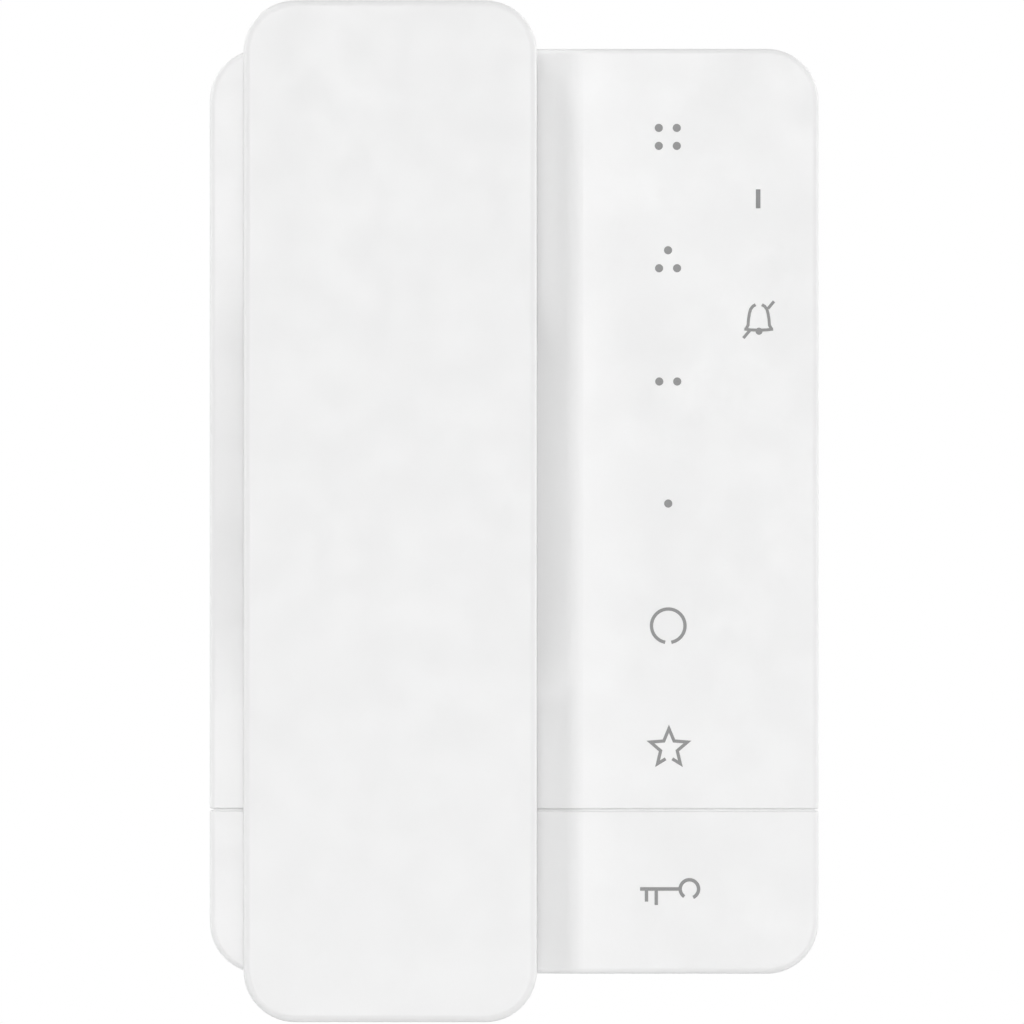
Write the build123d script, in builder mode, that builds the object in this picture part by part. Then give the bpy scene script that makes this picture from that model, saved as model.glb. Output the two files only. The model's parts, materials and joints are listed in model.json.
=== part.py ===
from build123d import *
from math import acos, atan, cos, degrees, pi, radians, sin, sqrt, tan
import os

os.makedirs("parts", exist_ok=True)

# Audio intercom handset hanging on its wall base, in millimetres.
# Seen by someone facing it, +X is to the right and +Z is up. The wall is the plane Y = 0, and
# "depth" is the distance from the wall: a point at depth d lies at Y = -d.
# The origin is the centre of the wall plate's screw pattern.
# An inset is measured inwards from the outer edge of the piece that carries the feature.

# Gaps shared by all pieces, and the overrun of a cut past the face it starts from
overrun = 1.0
seat_gap = 0.3
slip_gap = 0.2
guide_gap = 0.1
running_gap = 0.05

# Base, seen from the front
base_width = 106.0
base_height = 161.0
base_corner_radius = 9.0
base_edge_radius = 1.0
cover_wall = 1.8
key_height = 28.3
seam_gap = 0.4
seam_edge_radius = 0.25
seam_rim_inset = 0.6
seam_rim_wall = 0.5
seam_rim_overlap = 0.9

# Base depths, and the scoop that rises from under the handset's right edge to the panel
cradle_depth = 18.0
panel_depth = 24.0
skirt_depth = 5.0
lip_depth = 12.8
scoop_inset = 8.4
scoop_hollow_radius = 21.0
scoop_lip_radius = 4.6
level_edge_share = 0.5

# Cradle wells, ridge and hook
well_sink = 2.0
well_side_gap = 0.5
well_edge_radius = 0.4
ear_end_length = 54.75
lift_angle = 30.0
ramp_slope_share = 1.0
hook_rise = 2.5
hook_width = 28.0
hook_foot_length = 13.0
hook_crown_length = 3.0
hook_edge_radius = 0.8

# Handset body
handset_width = 51.0
handset_length = 177.5
handset_corner_radius = 9.0
handset_edge_radius = 1.2
handset_side_margin = 6.0
handset_wall = 2.0
handset_front_depth = 42.0
parting_depth = 34.0
handset_end_depth = 21.0
grip_depth = 26.0
grip_end_margin = 16.0
neck_length = 22.0
groove_depth = 0.4
shell_lip_height = 1.2
shell_lip_wall = 1.0

# Ear pad and mouth pad
pad_width = 44.0
pad_standoff = 0.4
pad_end_inset = 4.75
pad_corner_radius = 8.0
pad_edge_radius = 1.2
pad_gap = 0.6

# Wall plate: its margins inside the base put its screws 76 x 108 mm apart and its slots 83.5 mm apart
plate_thickness = 1.5
plate_side_margin = 5.0
plate_end_margin = 18.5
plate_corner_radius = 6.0
screw_side_inset = 10.0
screw_end_inset = 8.0
wide_slot_inset = 6.25
round_slot_pitch = 60.0
wall_hole_radius = 2.2
wall_slot_length = 7.0
window_width = 60.0
window_height = 44.0
window_corner_radius = 4.0
plate_hook_inset = 4.5
plate_hook_width = 6.0
plate_hook_top_inset = 18.0
plate_hook_pitch = 68.0
plate_hook_lip = 5.0
lock_tab_end_inset = 9.0
lock_tab_x = -6.0
lock_tab_width = 10.0
lock_tab_height = 3.8

# Rear shell
shell_back_depth = 0.6
shell_front_depth = 12.4
shell_wall = 1.8
skirt_gap = 0.4
floor_gap = 0.2
floor_thickness = 2.0

# Screws that join the fascia to the rear shell
base_screw_head_radius = 2.7
base_screw_head_height = 1.6
base_screw_radius = 1.5
base_screw_length = 9.0
base_screw_web = 2.2
base_screw_top_side_inset = 10.0
base_screw_top_end_inset = 8.1
base_screw_low_side_inset = 16.0
base_screw_low_rise = 6.7
screw_boss_radius = 2.75
screw_seat_radius = 3.6
screw_tip_room = 2.0
recess_width_share = 0.22
recess_length_share = 1.2
recess_depth_share = 0.5

# Main board
board_thickness = 1.6
board_stand = 1.7
board_side_inset = 13.0
board_top_inset = 14.5
board_low_rise = 4.7
board_corner_radius = 2.0
board_post_radius = 3.0
board_post_side_inset = 6.0
board_post_top_inset = 8.0
board_post_low_inset = 14.5
board_screw_radius = 1.2
board_screw_head_radius = 2.3
board_screw_head_height = 1.4
board_screw_length = 3.2
tongue_side_inset = 33.0
tongue_width = 24.0
tongue_margin = 6.5
boss_clearance = 0.9

# Touch board, its pads and its heat stakes
touch_board_gap = 0.3
touch_board_thickness = 1.2
touch_board_scoop_gap = 2.43
touch_board_side_inset = 6.5
touch_board_top_inset = 5.5
touch_board_low_rise = 5.2
electrode_thickness = 0.1
electrode_radius = 5.0
side_electrode_radius = 3.5
touch_column_inset = 12.3
touch_top_inset = 15.5
touch_low_rise = 10.95
touch_rows = 6
mark_column_inset = 10.5
mark_top_inset = 26.1
stake_radius = 1.0
stake_head_radius = 1.7
stake_head_height = 0.8
stake_left_inset = 3.0
stake_right_inset = 4.5
stake_top_inset = 31.0
stake_low_inset = 37.0

# Status window, light guide and lamp
window_slot_width = 0.8
window_slot_length = 3.3
guide_flange_width = 2.6
guide_flange_length = 5.0
guide_recess = 0.1
lamp_width = 1.6
lamp_length = 3.2
lamp_height = 1.2

# Connector between the two boards
header_inset = 5.5
header_rows = 5
header_pitch = 2.54
header_width = 5.0
socket_height = 8.5
pin_strip_height = 2.5
pin_width = 0.64
pin_reach = 3.0

# Ringer
ringer_radius = 14.0
ringer_flange_thickness = 1.0
ringer_gasket_thickness = 0.4
ringer_basket_radius = 12.0
ringer_basket_height = 3.4
ringer_magnet_radius = 7.0
ringer_magnet_height = 1.8
ringer_fit_gap = 0.4
ringer_wall = 1.2
ringer_wall_height = 3.0
ringer_cone_depth = 0.8
grille_slots = 7
grille_pitch = 3.0
grille_slot_width = 1.4
grille_slot_length = 20.0

# Cradle plunger, its switch and its spring
plunger_rise = 8.7
plunger_radius = 3.4
plunger_travel = 3.6
plunger_flange_radius = 4.6
plunger_flange_length = 14.0
plunger_flange_thickness = 1.2
plunger_bore_radius = 2.5
plunger_crown = 1.6
hook_switch_size = 5.0
hook_switch_height = 1.5
hook_switch_stem_radius = 1.0
spring_wire_radius = 0.2
spring_seat_gap = 0.15
hook_spring_radius = 1.85
hook_spring_turns = 5

# Door key, its hinge, its catches and its springs
pivot_rise = 3.2
pivot_depth = 9.0
trunnion_radius = 1.5
trunnion_length = 2.0
arm_thickness = 3.0
arm_half_height = 2.2
arm_side_gap = 0.4
bearing_length = 2.6
bearing_half_height = 3.6
press_room = 1.6
catch_side_inset = 31.0
catch_width = 8.0
catch_depth = 6.0
catch_thickness = 2.0
catch_reach = 1.5
key_spring_left_offset = 7.5
key_spring_right_inset = 15.0
key_spring_low_inset = 11.5
key_spring_radius = 2.7
key_spring_wire_radius = 0.3
key_spring_turns = 4
key_spring_cup_depth = 12.0
key_spring_cup_radius = 4.4
key_spring_peg_radius = 1.6
key_spring_peg_height = 2.0

# Door switch on the tongue of the main board
door_switch_low_inset = 14.5
door_switch_size = 6.0
door_switch_height = 3.5
stem_radius = 1.7
stem_rise = 1.0
stem_sunk = 1.2
stem_room = 0.9
presser_radius = 2.6

# Terminals at the back of the main board
terminal_poles = 4
terminal_pitch = 5.0
terminal_block_height = 8.0
terminal_block_depth = 4.6
terminal_screw_radius = 1.5
terminal_screw_head_height = 0.8
terminal_wire_radius = 1.1
terminal_z = -8.0
configurator_poles = 6
configurator_pitch = 4.0
configurator_height = 6.0
configurator_depth = 4.2
configurator_hole_radius = 0.6
configurator_z = 11.0

# Parts on the front of the main board
transformer_top_inset = 16.0
transformer_width = 15.0
transformer_height = 13.0
transformer_core_depth = 5.0
transformer_coil_width = 9.0
transformer_coil_swell = 1.5
capacitor_radius = 4.0
capacitor_height = 11.0
capacitor_side_inset = 7.0
capacitor_z = -6.0
capacitor_pitch = 11.0

# Cord sockets, one in the base and one in the handset
jack_width = 11.4
jack_depth = 8.8
jack_length = 12.2
jack_bore_width = 7.9
jack_bore_depth = 6.2
jack_bore_length = 10.4
jack_latch_width = 3.4
jack_latch_depth = 0.8
jack_contacts = 4
jack_contact_pitch = 1.27
jack_contact_radius = 0.2
jack_contact_drop = 2.6
base_jack_inset = 17.0
jack_notch_gap = 0.8

# Receiver at the ear end
receiver_inset = 29.0
dish_radius = 17.0
dish_depth = 1.5
dish_seat_radius = 19.0
ear_hole_radius = 1.1
ear_hole_rings = 2
ear_hole_pitch = 4.4
receiver_radius = 15.0
receiver_height = 7.5
receiver_magnet_radius = 8.0
receiver_magnet_height = 3.0
receiver_gasket_thickness = 0.8
receiver_gasket_inner_radius = 12.5
receiver_wall = 1.2
receiver_wall_height = 5.0
felt_thickness = 0.4

# Microphone at the mouth end
mic_inset = 20.0
mic_radius = 4.9
mic_height = 5.0
mic_boot_wall = 1.4
mic_boot_floor = 0.8
mic_hole_radius = 1.0
mic_wall = 1.2
mic_wall_height = 4.0

# Board, weight and screws inside the handset
handset_board_width = 20.0
handset_board_length = 44.0
handset_board_z = -42.0
handset_board_thickness = 1.2
handset_board_stand = 2.8
handset_board_pin_radius = 0.8
handset_board_post_radius = 2.4
handset_board_post_pitch = 34.0
weight_width = 20.0
weight_length = 30.0
weight_thickness = 4.0
weight_z = 30.0
weight_rib = 1.2
handset_screw_head_radius = 2.4
handset_screw_head_height = 1.5
handset_screw_radius = 1.3
handset_screw_length = 8.0
handset_screw_sink = 1.6
handset_screw_web = 1.8
handset_screw_low_z = -10.0
handset_screw_pitch = 20.0
handset_boss_radius = 3.0

# Places of the covers, the wells and the handset, worked out from the sizes above
base_side_x = base_width / 2
base_top_z = base_height / 2
key_top_z = key_height - base_top_z
fascia_low_z = key_top_z + seam_gap
handset_x = handset_side_margin + handset_width / 2 - base_side_x
handset_top_z = handset_length / 2
scoop_turn = degrees(acos(1 - (panel_depth - cradle_depth) / (scoop_hollow_radius + scoop_lip_radius)))
scoop_start_x = handset_x + handset_width / 2 - scoop_inset
scoop_end_x = scoop_start_x + (scoop_hollow_radius + scoop_lip_radius) * sin(radians(scoop_turn))
ridge_half_length = handset_top_z - ear_end_length
well_depth = cradle_depth - well_sink
well_skin_depth = well_depth - cover_wall
panel_skin_depth = panel_depth - cover_wall
cradle_skin_depth = cradle_depth - cover_wall
pad_depth = well_depth + pad_standoff
well_width = pad_width + 2 * well_side_gap

# Places inside the base
plate_width = base_width - 2 * plate_side_margin
plate_height = base_height - 2 * plate_end_margin
floor_back_depth = plate_thickness + floor_gap
floor_depth = floor_back_depth + floor_thickness
shell_width = base_width - 2 * (cover_wall + skirt_gap)
shell_height = base_height - 2 * (cover_wall + skirt_gap)
shell_corner_radius = base_corner_radius - cover_wall - skirt_gap
board_back_depth = floor_depth + board_stand
board_depth = board_back_depth + board_thickness
board_half_width = base_side_x - board_side_inset
board_top_z = base_top_z - board_top_inset
board_low_z = key_top_z + board_low_rise
touch_board_depth = panel_skin_depth - touch_board_gap
touch_board_back_depth = touch_board_depth - touch_board_thickness
touch_board_left_x = scoop_end_x + touch_board_scoop_gap
touch_board_right_x = base_side_x - touch_board_side_inset
touch_board_top_z = base_top_z - touch_board_top_inset
touch_board_low_z = key_top_z + touch_board_low_rise
stake_left_x = touch_board_left_x + stake_left_inset
stake_right_x = touch_board_right_x - stake_right_inset
stake_top_z = touch_board_top_z - stake_top_inset
stake_low_z = touch_board_low_z + stake_low_inset
header_x = touch_board_left_x + header_inset
header_z = (stake_top_z + stake_low_z) / 2
touch_column_x = touch_board_left_x + touch_column_inset
touch_top_z = base_top_z - touch_top_inset
touch_pitch = (touch_top_z - key_top_z - touch_low_rise) / (touch_rows - 1)
mark_column_x = base_side_x - mark_column_inset
mark_top_z = base_top_z - mark_top_inset
screw_seat_depth = floor_back_depth + base_screw_head_height + seat_gap
screw_boss_depth = screw_seat_depth + base_screw_web
base_screw_top_x = base_side_x - base_screw_top_side_inset
base_screw_top_z = base_top_z - base_screw_top_end_inset
base_screw_low_x = base_side_x - base_screw_low_side_inset
base_screw_low_z = key_top_z + base_screw_low_rise
base_screw_places = [
    (-base_screw_top_x, base_screw_top_z),
    (base_screw_top_x, base_screw_top_z),
    (-base_screw_low_x, base_screw_low_z),
    (base_screw_low_x, base_screw_low_z),
]
plunger_z = key_top_z + plunger_rise
pivot_z = key_top_z + pivot_rise
key_spring_left_x = handset_x + key_spring_left_offset
key_spring_right_x = base_side_x - key_spring_right_inset
key_spring_z = key_spring_low_inset - base_top_z
door_switch_z = door_switch_low_inset - base_top_z
tongue_x = base_side_x - tongue_side_inset
catch_x = base_side_x - catch_side_inset
base_jack_x = base_jack_inset - base_side_x

# Places inside the handset
grip_half_length = ridge_half_length - grip_end_margin
ear_z = handset_top_z - receiver_inset
mic_z = mic_inset - handset_top_z


def front_plane(depth, x=0, z=0):
    """Plane parallel to the wall, facing the room: local x is X and local y is Z."""
    return Plane(origin=(x, -depth, z), x_dir=(1, 0, 0), z_dir=(0, -1, 0))


def back_plane(depth, x=0, z=0):
    """Plane parallel to the wall, facing the wall: local x is -X and local y is Z."""
    return Plane(origin=(x, -depth, z), x_dir=(-1, 0, 0), z_dir=(0, 1, 0))


def level_plane(height):
    """Level plane, facing down: local x is X and local y is the depth."""
    return Plane(origin=(0, 0, height), x_dir=(1, 0, 0), z_dir=(0, 0, -1))


def side_plane(x):
    """Upright plane square to the wall, facing left: local x is the depth and local y is Z."""
    return Plane(origin=(x, 0, 0), x_dir=(0, -1, 0), z_dir=(-1, 0, 0))


def ledge_z(depth, gap=0):
    """Height of the hook's sloping ledge at a depth, or of a plane `gap` above it."""
    slope = radians(lift_angle)
    return ridge_half_length + (depth - well_depth) * tan(slope) + gap / cos(slope)


def ramp_z(depth, gap=0):
    """Height of the ridge's lower ramp at a depth, or of a plane `gap` below it."""
    foot_z = -ridge_half_length - well_sink * ramp_slope_share
    return foot_z + (depth - well_depth) * ramp_slope_share - gap * sqrt(1 + ramp_slope_share**2)


def face_section(inset, back_depth, height):
    """Level section of the covers, `inset` inside their skin: cradle flat, scoop and panel."""
    side_x = base_side_x - inset
    with BuildSketch(level_plane(height)) as section:
        with BuildLine():
            left = Line((-side_x, back_depth), (-side_x, cradle_depth - inset))
            flat = Line(left @ 1, (scoop_start_x, cradle_depth - inset))
            hollow = JernArc(flat @ 1, (1, 0), scoop_hollow_radius + inset, scoop_turn)
            lip = JernArc(hollow @ 1, hollow % 1, scoop_lip_radius - inset, -scoop_turn)
            panel = Line(lip @ 1, (side_x, panel_depth - inset))
            right = Line(panel @ 1, (side_x, back_depth))
            Line(right @ 1, left @ 0)
        make_face()
    return section.sketch


def cover_blank(low_z, high_z, inset, back_depth):
    """Block under the covers' skin, cut to the base's rounded outline."""
    section = face_section(inset, back_depth, high_z)
    with BuildPart() as blank:
        extrude(section, amount=high_z - low_z)
        with BuildSketch(front_plane(0)):
            RectangleRounded(base_width - 2 * inset, base_height - 2 * inset, base_corner_radius - inset)
        extrude(amount=panel_depth + overrun, mode=Mode.INTERSECT)
    return blank.part


def side_prism(points, centre_x, width):
    """Prism of a (depth, Z) outline, centred on an X."""
    with BuildPart() as prism:
        with BuildSketch(side_plane(centre_x + width / 2)):
            with BuildLine():
                Polyline(*points, close=True)
            make_face()
        extrude(amount=width)
    return prism.part


def wells(grow):
    """The two cradle wells, with every wall moved out by `grow`."""
    back = well_depth - grow
    front = panel_depth + overrun
    width = well_width + 2 * grow
    ear = [
        (back, ledge_z(back, -grow)),
        (front, ledge_z(front, -grow)),
        (front, base_top_z + overrun),
        (back, base_top_z + overrun),
    ]
    mouth = [
        (back, ramp_z(back, -grow)),
        (front, ramp_z(front, -grow)),
        (front, -base_top_z - overrun),
        (back, -base_top_z - overrun),
    ]
    return side_prism(ear, handset_x, width) + side_prism(mouth, handset_x, width)


def cover_skin(low_z, high_z, inset, back_depth):
    """Block under the covers' skin with the wells let into it, all `inset` inside the real skin."""
    with BuildPart() as skin:
        add(cover_blank(low_z, high_z, inset, back_depth))
        add(wells(inset), mode=Mode.SUBTRACT)
    return skin.part


def skin_band(low_z, high_z, outer_inset, inner_inset, back_depth):
    """Thin wall that follows the covers' skin, from one inset to a deeper one."""
    with BuildPart() as band:
        add(cover_skin(low_z, high_z, outer_inset, back_depth))
        add(cover_skin(low_z - overrun, high_z + overrun, inner_inset, 0), mode=Mode.SUBTRACT)
    return band.part


def seam_edges(cover, height):
    """Edges of a cover's end face at the seam, apart from the straight one at its back."""
    level = cover.edges().filter_by(lambda e: abs(e.center().Z - height) < guide_gap)
    return level.filter_by(lambda e: -e.center().Y > skirt_depth + guide_gap)


def well_side_edges(cover):
    """Edges where the covers' skin drops into the sides of the wells."""
    upright = cover.edges().filter_by(Axis.Z)
    beside = upright.filter_by(lambda e: abs(abs(e.center().X - handset_x) - well_width / 2) < guide_gap)
    return beside.filter_by(lambda e: -e.center().Y > cradle_depth - guide_gap)


def outer_front_edges(cover, end_z):
    """Edges where a cover's front meets its outer sides, away from the seam."""
    inner_x = base_side_x - base_corner_radius
    inner_z = base_top_z - base_corner_radius
    front = cover.edges().filter_by(lambda e: -e.center().Y > lip_depth)
    rim = front.filter_by(lambda e: abs(e.center().X) > inner_x or e.center().Z * end_z > inner_z)
    return rim.filter_by(lambda e: abs((e % 0).Y) < level_edge_share or abs(e.center().X) < inner_x)


def pan_screw(plane, head_radius, head_height, shank_radius, shank_length):
    """Cross-recessed pan-head screw: its head stands on the plane and its shank points back."""
    with BuildPart() as screw:
        with BuildSketch(plane):
            Circle(head_radius)
        extrude(amount=head_height)
        head_edges = screw.edges().sort_by(Axis(plane.origin, plane.z_dir))[-1]
        fillet(head_edges, head_height * recess_depth_share)
        with BuildSketch(plane.offset(-shank_length)):
            Circle(shank_radius)
        extrude(amount=shank_length)
        chamfer(screw.edges().sort_by(Axis(plane.origin, plane.z_dir))[0], shank_radius / 2)
        with BuildSketch(plane.offset(head_height * (1 - recess_depth_share))):
            Rectangle(head_radius * recess_length_share, head_radius * recess_width_share)
            Rectangle(head_radius * recess_width_share, head_radius * recess_length_share)
        extrude(amount=head_height, mode=Mode.SUBTRACT)
    return screw.part


def arc_pair(start, lead, end, end_lead):
    """Two arcs in space that leave start along lead, meet smoothly and reach end along end_lead."""
    chord = end - start
    along = chord.dot(lead + end_lead)
    spread = 2 * (1 - lead.dot(end_lead))
    reach = (sqrt(along**2 + spread * chord.dot(chord)) - along) / spread
    middle = (start + end + (lead - end_lead) * reach) * 0.5
    TangentArc(start, middle, tangent=lead)
    TangentArc(middle, end, tangent=(end - end_lead * reach - middle).normalized())


def coil_spring(x, z, back_depth, front_depth, radius, wire_radius, turns):
    """Compression spring square to the wall, wound in quarter turns, its wire between two depths."""
    quarters = 4 * turns
    rise = (front_depth - back_depth - 2 * wire_radius) / quarters
    points = []
    leads = []
    for quarter in range(quarters + 1):
        angle = radians(90 * quarter)
        out = Vector(cos(angle), 0, sin(angle))
        points.append(Vector(x, -back_depth - wire_radius - rise * quarter, z) + out * radius)
        leads.append(Vector(-sin(angle) * radius * pi / 2, -rise, cos(angle) * radius * pi / 2).normalized())
    with BuildPart() as spring:
        with BuildLine() as path:
            for quarter in range(quarters):
                arc_pair(points[quarter], leads[quarter], points[quarter + 1], leads[quarter + 1])
        with BuildSketch(Plane(points[0], z_dir=leads[0])):
            Circle(wire_radius)
        sweep(path=path.wire())
    steps = 16 * turns
    places = [path.wire() @ (step / steps) for step in range(steps + 1)]
    half_turn = steps // (2 * turns)
    gaps = [(b - a).length for at, a in enumerate(places) for b in places[at + half_turn :]]
    print("least gap between the spring's turns", round(min(gaps) - 2 * wire_radius, 2))
    return spring.part


def cord_socket(centre_x, back_depth, mouth_z):
    """Four-contact cord socket that opens downwards at mouth_z."""
    with BuildPart() as socket:
        with BuildSketch(Plane.XY.offset(mouth_z)):
            with Locations((centre_x, -back_depth - jack_depth / 2)):
                Rectangle(jack_width, jack_depth)
        extrude(amount=jack_length)
        with BuildSketch(Plane.XY.offset(mouth_z)):
            with Locations((centre_x, -back_depth - jack_depth / 2)):
                Rectangle(jack_bore_width, jack_bore_depth)
            latch_depth = back_depth + (jack_depth - jack_bore_depth - jack_latch_depth) / 2
            with Locations((centre_x, -latch_depth)):
                Rectangle(jack_latch_width, jack_latch_depth)
        extrude(amount=jack_bore_length, mode=Mode.SUBTRACT)
    return socket.part


def cord_contacts(centre_x, back_depth, mouth_z):
    """The four spring wires inside a cord socket, from the inner end towards the mouth."""
    front = back_depth + jack_depth / 2 + jack_bore_depth / 2 - jack_contact_radius - running_gap
    high_z = mouth_z + jack_bore_length
    low_z = mouth_z + jack_bore_length - jack_bore_depth
    with BuildPart() as wires:
        for number in range(jack_contacts):
            x = centre_x + (number - (jack_contacts - 1) / 2) * jack_contact_pitch
            with BuildLine() as path:
                first = Line((x, -front, low_z), (x, -front + jack_contact_drop, high_z - jack_contact_drop))
            with BuildSketch(Plane(first @ 0, z_dir=first % 0)):
                Circle(jack_contact_radius)
            sweep(path=path.line)
    return wires.part


# Wall plate: holes and slots for the wall, a cable window, four bent hooks and a lock tab
hook_neck_depth = floor_depth + slip_gap
plate_hook_x = plate_width / 2 - plate_hook_inset
plate_hook_top_z = plate_height / 2 - plate_hook_top_inset
lock_tab_z = lock_tab_end_inset - plate_height / 2
plate_hook_places = [
    (side * plate_hook_x, plate_hook_top_z - row * plate_hook_pitch) for side in (-1, 1) for row in range(2)
]
tab_tip_depth = plate_thickness + lock_tab_height
tab_low_z = lock_tab_z - plate_thickness
with BuildPart() as wall_plate:
    with BuildSketch(front_plane(0)):
        RectangleRounded(plate_width, plate_height, plate_corner_radius)
        RectangleRounded(window_width, window_height, window_corner_radius, mode=Mode.SUBTRACT)
        with GridLocations(plate_width - 2 * screw_side_inset, plate_height - 2 * screw_end_inset, 2, 2):
            Circle(wall_hole_radius, mode=Mode.SUBTRACT)
        with GridLocations(plate_width - 2 * wide_slot_inset, 0, 2, 1):
            SlotOverall(wall_slot_length, 2 * wall_hole_radius, mode=Mode.SUBTRACT)
        with GridLocations(0, round_slot_pitch, 1, 2):
            SlotOverall(wall_slot_length, 2 * wall_hole_radius, rotation=90, mode=Mode.SUBTRACT)
        for x, top_z in plate_hook_places:
            with Locations((x, top_z - plate_thickness - plate_hook_lip / 2)):
                Rectangle(plate_hook_width + 2 * slip_gap, plate_hook_lip, mode=Mode.SUBTRACT)
        with Locations((lock_tab_x, tab_low_z - lock_tab_height / 2)):
            Rectangle(lock_tab_width + 2 * slip_gap, lock_tab_height, mode=Mode.SUBTRACT)
    extrude(amount=plate_thickness)
    for x, top_z in plate_hook_places:
        lip_top_z = top_z - plate_thickness + plate_hook_lip
        bend = [
            (0, top_z),
            (hook_neck_depth, top_z),
            (hook_neck_depth, lip_top_z),
            (hook_neck_depth + plate_thickness, lip_top_z),
            (hook_neck_depth + plate_thickness, top_z - plate_thickness),
            (0, top_z - plate_thickness),
        ]
        add(side_prism(bend, x, plate_hook_width))
    tab = [(0, lock_tab_z), (tab_tip_depth, lock_tab_z), (tab_tip_depth, tab_low_z), (0, tab_low_z)]
    add(side_prism(tab, lock_tab_x, lock_tab_width))
wall_plate.part.label = "wall_plate"
export_step(wall_plate.part, "parts/wall_plate.step")


# Rear shell: tray that hangs on the plate's hooks and carries the boards and the key's bearings
shell_inner_width = shell_width - 2 * shell_wall
shell_inner_height = shell_height - 2 * shell_wall
shell_inner_radius = shell_corner_radius - shell_wall
shell_low_z = -shell_height / 2
board_post_x = board_half_width - board_post_side_inset
board_post_heights = (board_top_z - board_post_top_inset, board_low_z + board_post_low_inset)
board_post_places = [(side * board_post_x, z) for side in (-1, 1) for z in board_post_heights]
key_spring_places = [(key_spring_left_x, key_spring_z), (key_spring_right_x, key_spring_z)]
bearing_face_x = shell_inner_width / 2 - bearing_length
base_jack_depth = floor_depth
with BuildPart() as rear_shell:
    with BuildSketch(front_plane(shell_back_depth)):
        RectangleRounded(shell_width, shell_height, shell_corner_radius)
    extrude(amount=shell_front_depth - shell_back_depth)
    with BuildSketch(front_plane(floor_depth)):
        RectangleRounded(shell_inner_width, shell_inner_height, shell_inner_radius)
    extrude(amount=shell_front_depth, mode=Mode.SUBTRACT)
    with BuildSketch(front_plane(0)):
        RectangleRounded(shell_inner_width, shell_inner_height, shell_inner_radius)
    extrude(amount=floor_back_depth, mode=Mode.SUBTRACT)
    with BuildSketch(front_plane(floor_depth)):
        with Locations(*board_post_places):
            Circle(board_post_radius)
    extrude(amount=board_stand)
    with BuildSketch(front_plane(floor_depth)):
        with Locations(*base_screw_places):
            Circle(screw_seat_radius)
    extrude(amount=screw_boss_depth - floor_depth)
    with BuildSketch(front_plane(floor_depth)):
        with Locations(*key_spring_places):
            Circle(key_spring_peg_radius)
    extrude(amount=key_spring_peg_height)
    for side in (-1, 1):
        block = [
            (floor_depth, pivot_z - bearing_half_height),
            (shell_front_depth, pivot_z - bearing_half_height),
            (shell_front_depth, pivot_z + bearing_half_height),
            (floor_depth, pivot_z + bearing_half_height),
        ]
        add(side_prism(block, side * (bearing_face_x + bearing_length / 2), bearing_length))
    with BuildSketch(side_plane(bearing_face_x + bearing_length)):
        with Locations((pivot_depth, pivot_z)):
            Circle(trunnion_radius + running_gap)
    extrude(amount=2 * (bearing_face_x + bearing_length), mode=Mode.SUBTRACT)
    with BuildSketch(front_plane(0)):
        RectangleRounded(window_width, window_height, window_corner_radius)
        for x, top_z in plate_hook_places:
            with Locations((x, top_z + slip_gap - (plate_hook_lip + overrun) / 2)):
                Rectangle(plate_hook_width + 2 * slip_gap, plate_hook_lip + overrun)
        with Locations((lock_tab_x, lock_tab_z - plate_thickness / 2)):
            Rectangle(lock_tab_width + 2 * slip_gap, plate_thickness + 2 * slip_gap)
    extrude(amount=floor_depth + overrun, mode=Mode.SUBTRACT)
    with BuildSketch(front_plane(floor_depth)):
        with Locations(*board_post_places):
            Circle(board_screw_radius + running_gap)
    extrude(amount=board_stand + overrun, mode=Mode.SUBTRACT)
    with BuildSketch(front_plane(0)):
        with Locations(*base_screw_places):
            Circle(base_screw_head_radius + slip_gap)
    extrude(amount=screw_seat_depth, mode=Mode.SUBTRACT)
    with BuildSketch(front_plane(screw_seat_depth)):
        with Locations(*base_screw_places):
            Circle(base_screw_radius + running_gap)
    extrude(amount=base_screw_web + overrun, mode=Mode.SUBTRACT)
    with BuildSketch(Plane.XY.offset(shell_low_z - overrun)):
        with Locations((base_jack_x, -base_jack_depth - jack_depth / 2 - overrun / 2)):
            Rectangle(jack_width + 2 * slip_gap, jack_depth + overrun)
        with Locations(*[(side * catch_x, -catch_depth - catch_thickness / 2) for side in (-1, 1)]):
            Rectangle(catch_width + 2 * seat_gap, catch_thickness + 2 * (seat_gap + press_room))
    extrude(amount=shell_wall + 2 * overrun, mode=Mode.SUBTRACT)
rear_shell.part.label = "rear_shell"
export_step(rear_shell.part, "parts/rear_shell.step")


# Front fascia: cradle flat with its ledge hook and ringer grille, scoop, and touch panel
fascia_skin = cover_blank(fascia_low_z, base_top_z, 0, skirt_depth)
fascia_core = cover_blank(fascia_low_z + cover_wall, base_top_z, cover_wall, 0)
well_cutter = wells(0)
well_block = wells(cover_wall)
hook_depth = cradle_depth + hook_rise
hook_root_depth = cradle_depth - cover_wall / 2
ringer_front_depth = cradle_skin_depth - ringer_gasket_thickness
ringer_ring_radius = ringer_radius + ringer_fit_gap
touch_places = [(touch_column_x, touch_top_z - row * touch_pitch) for row in range(touch_rows)]
stake_places = [(x, z) for x in (stake_left_x, stake_right_x) for z in (stake_top_z, stake_low_z)]
with BuildPart() as fascia_space:
    add(fascia_core)
    add(well_block, mode=Mode.SUBTRACT)
    with BuildSketch(front_plane(0)):
        with Locations((0, fascia_low_z)):
            Rectangle(base_width - 2 * cover_wall, 2 * (cover_wall + overrun))
    extrude(amount=lip_depth)
groove_top_z = fascia_low_z + seam_rim_overlap + seat_gap
groove_outer_inset = seam_rim_inset - guide_gap
groove_inner_inset = seam_rim_inset + seam_rim_wall + slip_gap
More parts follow.
